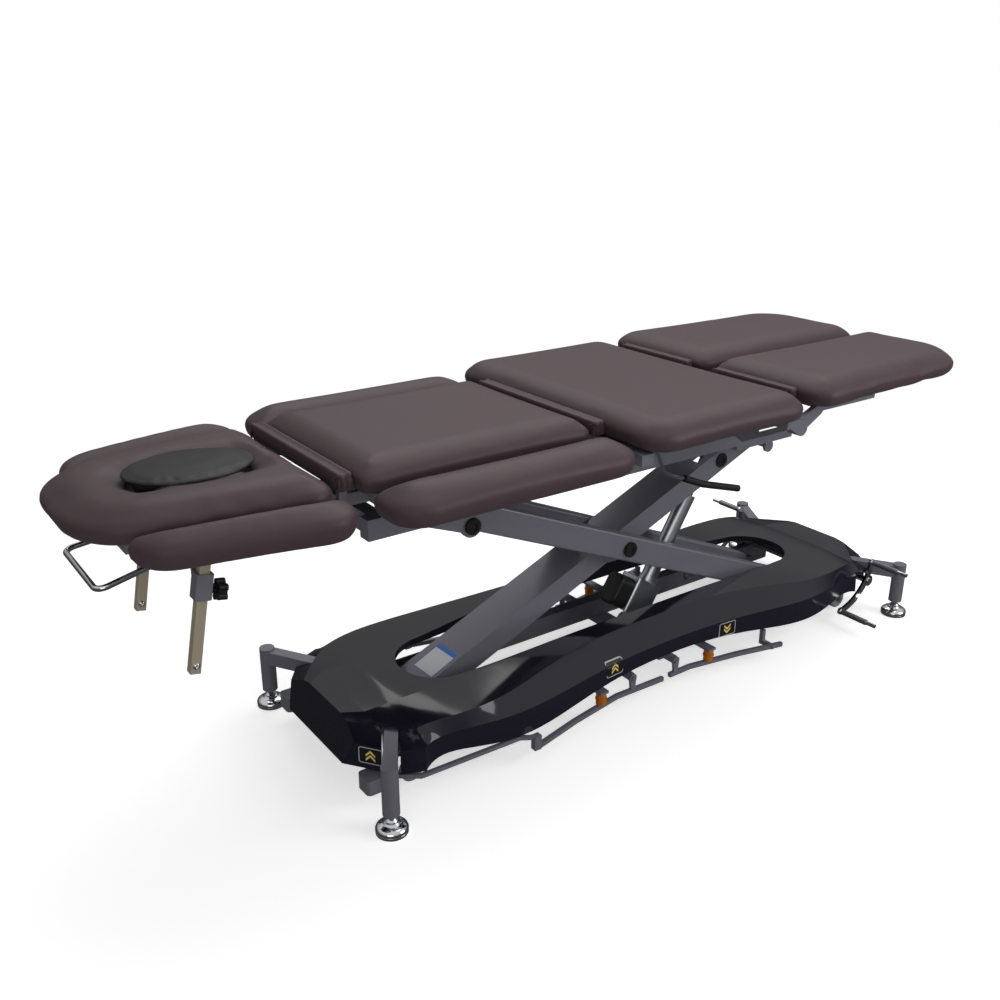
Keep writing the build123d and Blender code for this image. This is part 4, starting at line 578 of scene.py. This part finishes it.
def strip_surface(u, pleat, ripple):
    """The height of a strip at u, -1 to 1 across it. pleat is 0 on top and 1 where it hangs."""
    valley, edge_fall, skirt, pleat_deep, pleat_count = 3.4 * mm, 3 * mm, 24 * mm, 3.0 * mm, 3
    roll_edge, skirt_edge = 0.5, 0.8
    roll = -valley * (cos(pi * u) * 0.5 + 0.5) ** 2
    edge = -edge_fall * max(0.0, abs(u) - roll_edge) / (1 - roll_edge)
    side = -skirt * (1 - pleat) * max(0.0, abs(u) - skirt_edge) / (1 - skirt_edge)
    folds = -pleat_deep * pleat * (0.5 + 0.5 * cos(u * pleat_count * pi))
    return roll * (1 - pleat) + edge + side + folds + ripple * (1 - abs(u)) * (1 - pleat)


# %% The strip helper
def folded_strip(name, node, gap, beyond, hang):
    """A folded strip over the CAD strip node, which lies along Y."""
    low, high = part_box(node)
    middle, top = (low.x + high.x) / 2, high.z + strip_rise
    low.y -= beyond
    high.y += beyond
    hem_narrows, hem_bulge = 0.10, 0.24
    net = bmesh.new()
    rows = []
    for k, (y, fall, bend) in enumerate(strip_line(low.y, high.y, hang)):
        pleat = min(1.0, -fall / (tuck_radius * 2))
        half = gap / 2 * (1 - hem_narrows * pleat)
        ripple = sum(size * sin(k * speed + start) for size, speed, start in ripple_waves)
        row = []
        for j in range(strip_columns + 1):
            u = 2 * j / strip_columns - 1
            h = strip_surface(u, pleat, ripple)
            out = min(1.0, abs(u) * (1 + hem_bulge * (1 - abs(u)))) * (1 if u > 0 else -1)
            row.append(net.verts.new((middle + out * half, y + sin(bend) * h, top + fall + cos(bend) * h)))
        rows.append(row)
    joined_rows(net, rows)
    bmesh.ops.recalc_face_normals(net, faces=net.faces)
    if sum(f.normal.z for f in net.faces) < 0:
        bmesh.ops.reverse_faces(net, faces=net.faces)
    net.normal_update()
    under = [[net.verts.new(v.co - v.normal * strip_thick) for v in row] for row in rows]
    joined_rows(net, under)
    last = len(rows) - 1
    border = [(0, j) for j in range(strip_columns + 1)]
    border += [(k, strip_columns) for k in range(1, last + 1)]
    border += [(last, j) for j in range(strip_columns - 1, -1, -1)]
    border += [(k, 0) for k in range(last - 1, 0, -1)]
    stitches = [(rows[k][j], under[k][j]) for k, j in border]
    for a, b in zip(stitches, stitches[1:] + stitches[:1]):
        net.faces.new((a[0], b[0], b[1], a[1]))
    bmesh.ops.recalc_face_normals(net, faces=net.faces)
    for face in net.faces:
        face.smooth = True
    piece = new_piece(name, None, brown_leathercloth)
    net.to_mesh(piece.data)
    net.free()
    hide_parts(node)
    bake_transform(piece)
    print(name, len(piece.data.polygons), "faces")


folded_strip("strip_head", "gap_strip_head", gap=29 * mm, beyond=33 * mm, hang=24 * mm)
folded_strip("strip_back", "gap_strip_back", gap=29 * mm, beyond=4 * mm, hang=22 * mm)
for side in ("near", "far"):
    folded_strip("strip_leg_" + side, "gap_strip_leg_" + side,
                 gap=23 * mm, beyond=4 * mm, hang=12 * mm)

# %% [markdown]
# ## Finding a place on a part
# Plates and screws sit on the CAD surfaces. A search tree of a part's mesh gives the
# point where a line meets it, so a fitting lies on the surface whatever its slope. A
# thin plate on a curved cover would lift at its corners, so each of its points is
# laid on the surface by itself.

# %% Surface helpers
def search_tree(node):
    """A tree of a CAD part's faces, for finding where a line meets them."""
    mesh = nodes[node].data
    places = [v.co.copy() for v in mesh.vertices]
    return BVHTree.FromPolygons(places, [tuple(f.vertices) for f in mesh.polygons])


def seen_on(tree, px, py):
    """The point and the outward normal where the camera sees the part at a pixel."""
    ahead = sight_line(px, py)
    point, normal = tree.ray_cast(camera.location, ahead)[:2]
    if point is None:
        raise ValueError(f"nothing at pixel {px}, {py}")
    if normal.dot(ahead) > 0:
        normal.negate()
    return point, normal


class Patch:
    """A flat drawing board laid on a part: across, up and out of its surface."""

    search = 12 * mm

    def __init__(self, tree, point, normal, up):
        self.tree, self.point, self.out = tree, point, normal.normalized()
        self.up = (up - self.out * up.dot(self.out)).normalized()
        self.across = self.up.cross(self.out)

    def at(self, u, v, height):
        """The surface point at u across and v up, raised by the height."""
        flat = self.point + self.across * u + self.up * v
        hit = self.tree.ray_cast(flat + self.out * self.search, -self.out, 2 * self.search)[0]
        return (flat if hit is None else hit) + self.out * height

    def sections(self, net, pairs, low, high):
        """The four corners of a raised band's section at each pair of board points."""
        return [[net.verts.new(self.at(*one, low)), net.verts.new(self.at(*one, high)),
                 net.verts.new(self.at(*two, high)), net.verts.new(self.at(*two, low))]
                for one, two in pairs]

    def bar(self, net, start, end, side, low, high, finish):
        """A raised bar from start to end, as far as side to either side of that line."""
        steps = 4
        run, side = Vector(end) - Vector(start), Vector(side)
        centres = [Vector(start) + run * k / steps for k in range(steps + 1)]
        rows = self.sections(net, [(c + side, c - side) for c in centres], low, high)
        joined_rows(net, [row + row[:1] for row in rows], finish)
        net.faces.new(rows[0]).material_index = finish
        net.faces.new(rows[-1][::-1]).material_index = finish

    def plate(self, net, wide, tall, corner, low, high):
        """A plate with rounded corners that follows the surface."""
        corner_steps, middle_steps, steps_up = 4, 8, 3
        blunt = 0.08 * corner
        cuts = [-wide / 2 + corner * (1 - cos(pi / 2 * k / corner_steps)) for k in range(corner_steps)]
        middle = [-wide / 2 + corner + (wide - 2 * corner) * k / middle_steps
                  for k in range(middle_steps + 1)]
        lines = []
        for u in cuts + middle + [-c for c in reversed(cuts)]:
            past = max(0.0, abs(u) - (wide / 2 - corner))
            half = tall / 2 - corner + max(corner ** 2 - past ** 2, blunt ** 2) ** 0.5
            spots = [(half * k / steps_up, high) for k in range(-steps_up, steps_up + 1)]
            spots = [(-half, low)] + spots + [(half, low)]
            lines.append([net.verts.new(self.at(u, v, height)) for v, height in spots])
        joined_rows(net, lines)
        net.faces.new(lines[0])
        net.faces.new(lines[-1])

    def rim(self, net, wide, tall, corner, width, low, high, finish):
        """A thin raised line round a plate, with rounded corners."""
        corner_steps = 4
        pairs = []
        for cx, cy, first in ((1, 1, 0), (-1, 1, 90), (-1, -1, 180), (1, -1, 270)):
            centre = Vector((cx * (wide / 2 - corner), cy * (tall / 2 - corner)))
            for k in range(corner_steps + 1):
                angle = radians(first + 90 * k / corner_steps)
                way = Vector((cos(angle), sin(angle)))
                pairs.append((centre + way * corner, centre + way * (corner - width)))
        rows = self.sections(net, pairs, low, high)
        joined_rows(net, rows + rows[:1], finish)


def finish_mesh(net, piece):
    """Puts a built mesh into its piece, with its faces turned outwards."""
    bmesh.ops.recalc_face_normals(net, faces=net.faces)
    net.to_mesh(piece.data)
    net.free()


# %% [markdown]
# ## Direction signs
# Three small signs on the near side tell the foot which way the table will travel:
# two chevrons that point up or down, a sign any lift may carry. Such signs are mostly
# printed foil. Here the rim and the chevrons are raised a little, so that they are
# shapes and not only a picture. The far side is not in the photograph, and gets the
# same signs, because its foot bars are the same.

# %% Signs on the cover
sign_black = skin("enamelled_sign_black", "#17161A", "#1C1B20", 4 * mm, 0.1, 1.0, Roughness=0.30)
sign_silver = metal("etched_sign_silver", "#CFCDC8", 0.40, 0.05, 3 * mm, metallic=0.3)
sign_gold = skin("printed_sign_gold", "#F4DB86", "#EBCB66", 3 * mm, 0.1, 1.0, Roughness=0.40)
cover_tree = search_tree("base_cover")
sign_wide, sign_tall, sign_corner, sign_rim = 48 * mm, 34 * mm, 4.5 * mm, 1.7 * mm
sign_under, sign_top, raised_from, raised_to = -0.4 * mm, 0.5 * mm, 0.3 * mm, 0.9 * mm
chevron_reach, chevron_half = 9.5 * mm, 2.4 * mm
chevron_places, chevron_tip, chevron_end = (-5 * mm, 4 * mm), 5 * mm, -4 * mm
sign_pixels = {"head": (370.5, 756, True), "up": (615, 668, True), "down": (727, 628.5, False)}


def direction_sign(name, point, normal, points_up):
    """A sign plate with a silver rim and two gold chevrons, lying on the cover."""
    board = Patch(cover_tree, point, normal, Vector((0, 0, 1)))
    net = bmesh.new()
    board.plate(net, sign_wide, sign_tall, sign_corner, sign_under, sign_top)
    board.rim(net, sign_wide, sign_tall, sign_corner, sign_rim, raised_from, raised_to, 1)
    way = 1 if points_up else -1
    for shift in chevron_places:
        for side in (-1, 1):
            board.bar(net, (0, (shift + chevron_tip) * way),
                      (side * chevron_reach, (shift + chevron_end) * way),
                      (0, chevron_half), raised_from, raised_to, 2)
    piece = new_piece(name, "base", sign_black)
    piece.data.materials.append(sign_silver)
    piece.data.materials.append(sign_gold)
    finish_mesh(net, piece)


for place, (px, py, points_up) in sign_pixels.items():
    point, normal = seen_on(cover_tree, px, py)
    direction_sign(f"sign_{place}_near", point, normal, points_up)
    across = Vector((point.x, -point.y, point.z))
    direction_sign(f"sign_{place}_far", across, Vector((normal.x, -normal.y, normal.z)), points_up)
    print("sign", place, "at", [round(v, 3) for v in point])

# %% [markdown]
# The plate on the lower arm is a blank one: a white sheet with a blue band along its
# top and a blue border. Its four corners are found on the arm from their pixels, which
# gives the way it is turned. A pixel covers two to three millimetres there, so the
# corners give its size only roughly, and that is set in plain millimetres instead.

# %% Blank plate on the inner arm
sheet_white = skin("printed_film_white", "#F4F7FB", "#ECF0F7", 5 * mm, 0.1, 1.0, Roughness=0.35)
sheet_blue = skin("printed_film_blue", "#3C82DC", "#3579D2", 5 * mm, 0.1, 1.0, Roughness=0.35)
corner_pixels = ((438, 641), (459, 657), (432, 679), (413, 662))
middle_pixel = (436, 660)
data_wide, data_tall, data_corner = 66 * mm, 74 * mm, 1.5 * mm
border_width, band_half, band_down, band_short = 1.2 * mm, 5.5 * mm, 7 * mm, 1 * mm
arm_tree = search_tree("inner_arm")
corners = [seen_on(arm_tree, px, py)[0] for px, py in corner_pixels]
plate_up = (corners[0] + corners[1] - corners[2] - corners[3]) / 2
plate_across = (corners[1] + corners[2] - corners[0] - corners[3]) / 2
print("plate as seen", round(plate_across.length, 4), "by", round(plate_up.length, 4))
plate_middle, plate_normal = seen_on(arm_tree, *middle_pixel)
board = Patch(arm_tree, plate_middle, plate_normal, plate_up)
net = bmesh.new()
board.plate(net, data_wide, data_tall, data_corner, -0.4 * mm, 0.4 * mm)
board.rim(net, data_wide, data_tall, data_corner, border_width, 0.2 * mm, 0.55 * mm, 1)
band_reach, band_line = data_wide / 2 - band_short, data_tall / 2 - band_down
board.bar(net, (-band_reach, band_line), (band_reach, band_line), (0, band_half), 0.2 * mm, 0.5 * mm, 1)
data_plate = new_piece("blank_data_plate", "inner_arm_body", sheet_white)
data_plate.data.materials.append(sheet_blue)
finish_mesh(net, data_plate)

# %% [markdown]
# ## Small fittings
# Turned parts come from one helper that spins a profile round an axis, and screws
# from another that gives it the profile of a domed head. The key hole of such a screw
# has six sides. At this size they don't show, so the hole is turned like the rest.

# %% Turned parts and screws
def turned(name, body, material, place, way, profile, segments):
    """A profile of (radius, distance along the axis) pairs, spun round the axis."""
    way = Vector(way).normalized()
    side = way.orthogonal().normalized()
    net = bmesh.new()
    points = [net.verts.new(Vector(place) + way * along + side * radius) for radius, along in profile]
    lines = [net.edges.new(pair) for pair in zip(points, points[1:])]
    bmesh.ops.spin(net, geom=points + lines, cent=place, axis=way, angle=2 * pi,
                   steps=segments, use_merge=True)
    for face in net.faces:
        face.smooth = True
    bmesh.ops.holes_fill(net, edges=[e for e in net.edges if e.is_boundary], sides=segments)
    piece = new_piece(name, body, material)
    finish_mesh(net, piece)
    print(name, len(piece.data.polygons), "faces")


def button_screw(name, body, place, way, radius):
    """A chromed screw with a domed head and a key hole, standing on a surface."""
    tall, sunk = radius * 0.62, 0.5 * mm
    dome = ((1, 0.15), (0.93, 0.45), (0.78, 0.78), (0.58, 1), (0.42, 1))
    key_hole = ((0.40, 0.94), (0.38, 0.35), (0.02, 0.30))
    profile = [(radius, -sunk)] + [(radius * out, tall * up) for out, up in dome + key_hole]
    turned(name, body, chrome, place, way, profile, segments=24)


# %% [markdown]
# A stop screw crosses the lower end of each armrest tube, so that the tube can't be
# drawn out through its sleeve. A head shows on both faces of the tube.

# %% Stop screws of the armrest tubes
tube_half, tube_y, screw_radius = 9 * mm, 137 * mm, 6 * mm
screw_x, screw_z = -841.3 * mm, 375.7 * mm
for side, word in ((-1, "near"), (1, "far")):
    for face, end in ((-1, "outer"), (1, "inner")):
        place = (screw_x, side * tube_y + face * tube_half, screw_z)
        button_screw(f"stop_screw_{word}_{end}", "armrest_" + word, place, (0, face, 0), screw_radius)

# %% [markdown]
# The levelling feet have a thick chromed dome with a black rubber ring below, which
# the CAD disc leaves plain. The dome stands on the disc, round its collar. Both
# profiles are shares of the disc's radius against heights in millimetres.

# %% Domes and rings of the levelling feet
dome_profile = ((0.96, 4), (1.01, 6), (1.01, 9), (0.97, 12), (0.84, 15.5), (0.62, 18),
                (0.50, 19), (0.46, 22), (0.41, 22.6))
ring_profile = ((0.9, 0.1), (0.99, 0.8), (1.0, 3.4), (0.9, 4.2))
foot_fittings = {
    "dome": ("chrome", chrome, dome_profile),
    "rubber": ("black_rubber", black_rubber, ring_profile),
}
for number in (1, 2, 3, 4):
    low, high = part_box(f"leveling_foot_{number}")
    place = ((low.x + high.x) / 2, (low.y + high.y) / 2, 0)
    radius = (high.x - low.x) / 2
    for kind, (slot, material, shares) in foot_fittings.items():
        profile = [(radius * share, height * mm) for share, height in shares]
        turned(f"foot_{kind}_{number}", "base", material, place, (0, 0, 1), profile, segments=56)

# %% [markdown]
# ## Floor and light
# The photograph was taken on white, with one large light above and behind the table
# and less from the front: the tops are bright and the sides fall off to black. So a
# large softbox hangs above and behind, a smaller one stands in front at the right, and
# a faint one in front at the left lifts the head end. The floor keeps the shadow, a
# little glow that only the camera sees brings it near to white, and further out it is
# plain white, so that no horizon shows. In reflections the floor is dark, as the black
# card under a glossy product is.

# %% Floor
floor_half, white_from, white_to = 40.0, 1.2, 2.2
floor_glow, dark_card_light = 0.58, 0.06
white_light = (1, 1, 1, 1)
floor_mesh = bpy.data.meshes.new("floor")
ground = bmesh.new()
bmesh.ops.create_grid(ground, x_segments=1, y_segments=1, size=floor_half)
ground.to_mesh(floor_mesh)
ground.free()
floor = in_scene("floor", floor_mesh)
floor_paint, tree, shader, place = start_material("studio_floor", Roughness=0.9, Base_Color=linear("#F4F4F4"))
shader.inputs["Specular IOR Level"].default_value = 0.0
shader.inputs["Emission Color"].default_value = white_light
rays = add_node(tree, "ShaderNodeLightPath")
from_table = add_node(tree, "ShaderNodeVectorMath", {"operation": "LENGTH"}, {0: place})
fade = add_node(tree, "ShaderNodeMapRange", {"interpolation_type": "SMOOTHSTEP"}, {
    "Value": from_table.outputs["Value"], "From Min": white_from, "From Max": white_to})
seen = add_node(tree, "ShaderNodeMath", {"operation": "MULTIPLY"},
                {0: rays.outputs["Is Camera Ray"], 1: fade.outputs["Result"]})
glow = add_node(tree, "ShaderNodeMath", {"operation": "MULTIPLY"},
                {0: rays.outputs["Is Camera Ray"], 1: floor_glow})
tree.links.new(glow.outputs[0], shader.inputs["Emission Strength"])
white = add_node(tree, "ShaderNodeEmission", inputs={"Color": white_light})
far_white = add_node(tree, "ShaderNodeMixShader", inputs={
    0: seen.outputs[0], 1: shader.outputs["BSDF"], 2: white.outputs["Emission"]})
dark_card = add_node(tree, "ShaderNodeEmission", inputs={"Color": white_light, "Strength": dark_card_light})
reflected = add_node(tree, "ShaderNodeMixShader", inputs={
    0: rays.outputs["Is Glossy Ray"], 1: far_white.outputs[0], 2: dark_card.outputs["Emission"]})
tree.links.new(reflected.outputs[0], tree.nodes["Material Output"].inputs["Surface"])
floor_mesh.materials.append(floor_paint)
print("floor", 2 * floor_half, "m wide")

# %% [markdown]
# The world is plain and dim for the light it gives, and white where the camera or a
# clear part looks straight at it. In reflections it goes from dark at the horizon to
# bright overhead, so that chrome and the gloss cover show a clear shape.

# %% World
world_light, overhead_light, overhead_from = 0.24, 0.70, 0.75
world = bpy.data.worlds.new("studio")
bpy.context.scene.world = world
world.use_nodes = True
tree = world.node_tree
rays = add_node(tree, "ShaderNodeLightPath")
compass = add_node(tree, "ShaderNodeSeparateXYZ", inputs={
    "Vector": add_node(tree, "ShaderNodeTexCoord").outputs["Generated"]})
sky = add_node(tree, "ShaderNodeMapRange", {"interpolation_type": "SMOOTHSTEP"}, {
    "Value": compass.outputs["Z"], "From Min": 0.0, "From Max": overhead_from,
    "To Min": dark_card_light, "To Max": overhead_light})
plain = add_node(tree, "ShaderNodeMix", inputs={
    "Factor": rays.outputs["Is Glossy Ray"], "A": world_light, "B": sky.outputs["Result"]})
white_seen = add_node(tree, "ShaderNodeMath", {"operation": "MAXIMUM"},
                      {0: rays.outputs["Is Camera Ray"], 1: rays.outputs["Is Transmission Ray"]})
level = add_node(tree, "ShaderNodeMix", inputs={
    "Factor": white_seen.outputs[0], "A": plain.outputs["Result"], "B": 1.0})
background = tree.nodes["Background"]
background.inputs["Color"].default_value = white_light
tree.links.new(level.outputs["Result"], background.inputs["Strength"])

# %% [markdown]
# Each softbox is a square area lamp: its power in watts, its side and its place. All
# of them look at a point in the middle of the lift.

# %% Lamps
lamp_aim = Vector((0, 0, 0.4))
softboxes = {
    "softbox_above": (52.0, 3.2, (0.8, 0.8, 3.0)),
    "softbox_right": (40.0, 1.8, (1.9, -2.4, 1.7)),
    "softbox_left": (16.0, 2.0, (-2.4, -2.4, 1.3)),
}
for lamp_name, (power, size, spot) in softboxes.items():
    lamp_data = bpy.data.lights.new(lamp_name, "AREA")
    lamp_data.energy = power
    lamp_data.size = size
    lamp = in_scene(lamp_name, lamp_data)
    lamp.location = spot
    lamp.rotation_euler = (lamp_aim - Vector(spot)).to_track_quat("-Z", "Y").to_euler()
bpy.context.scene.view_settings.view_transform = "Standard"
print("lamps:", list(softboxes))
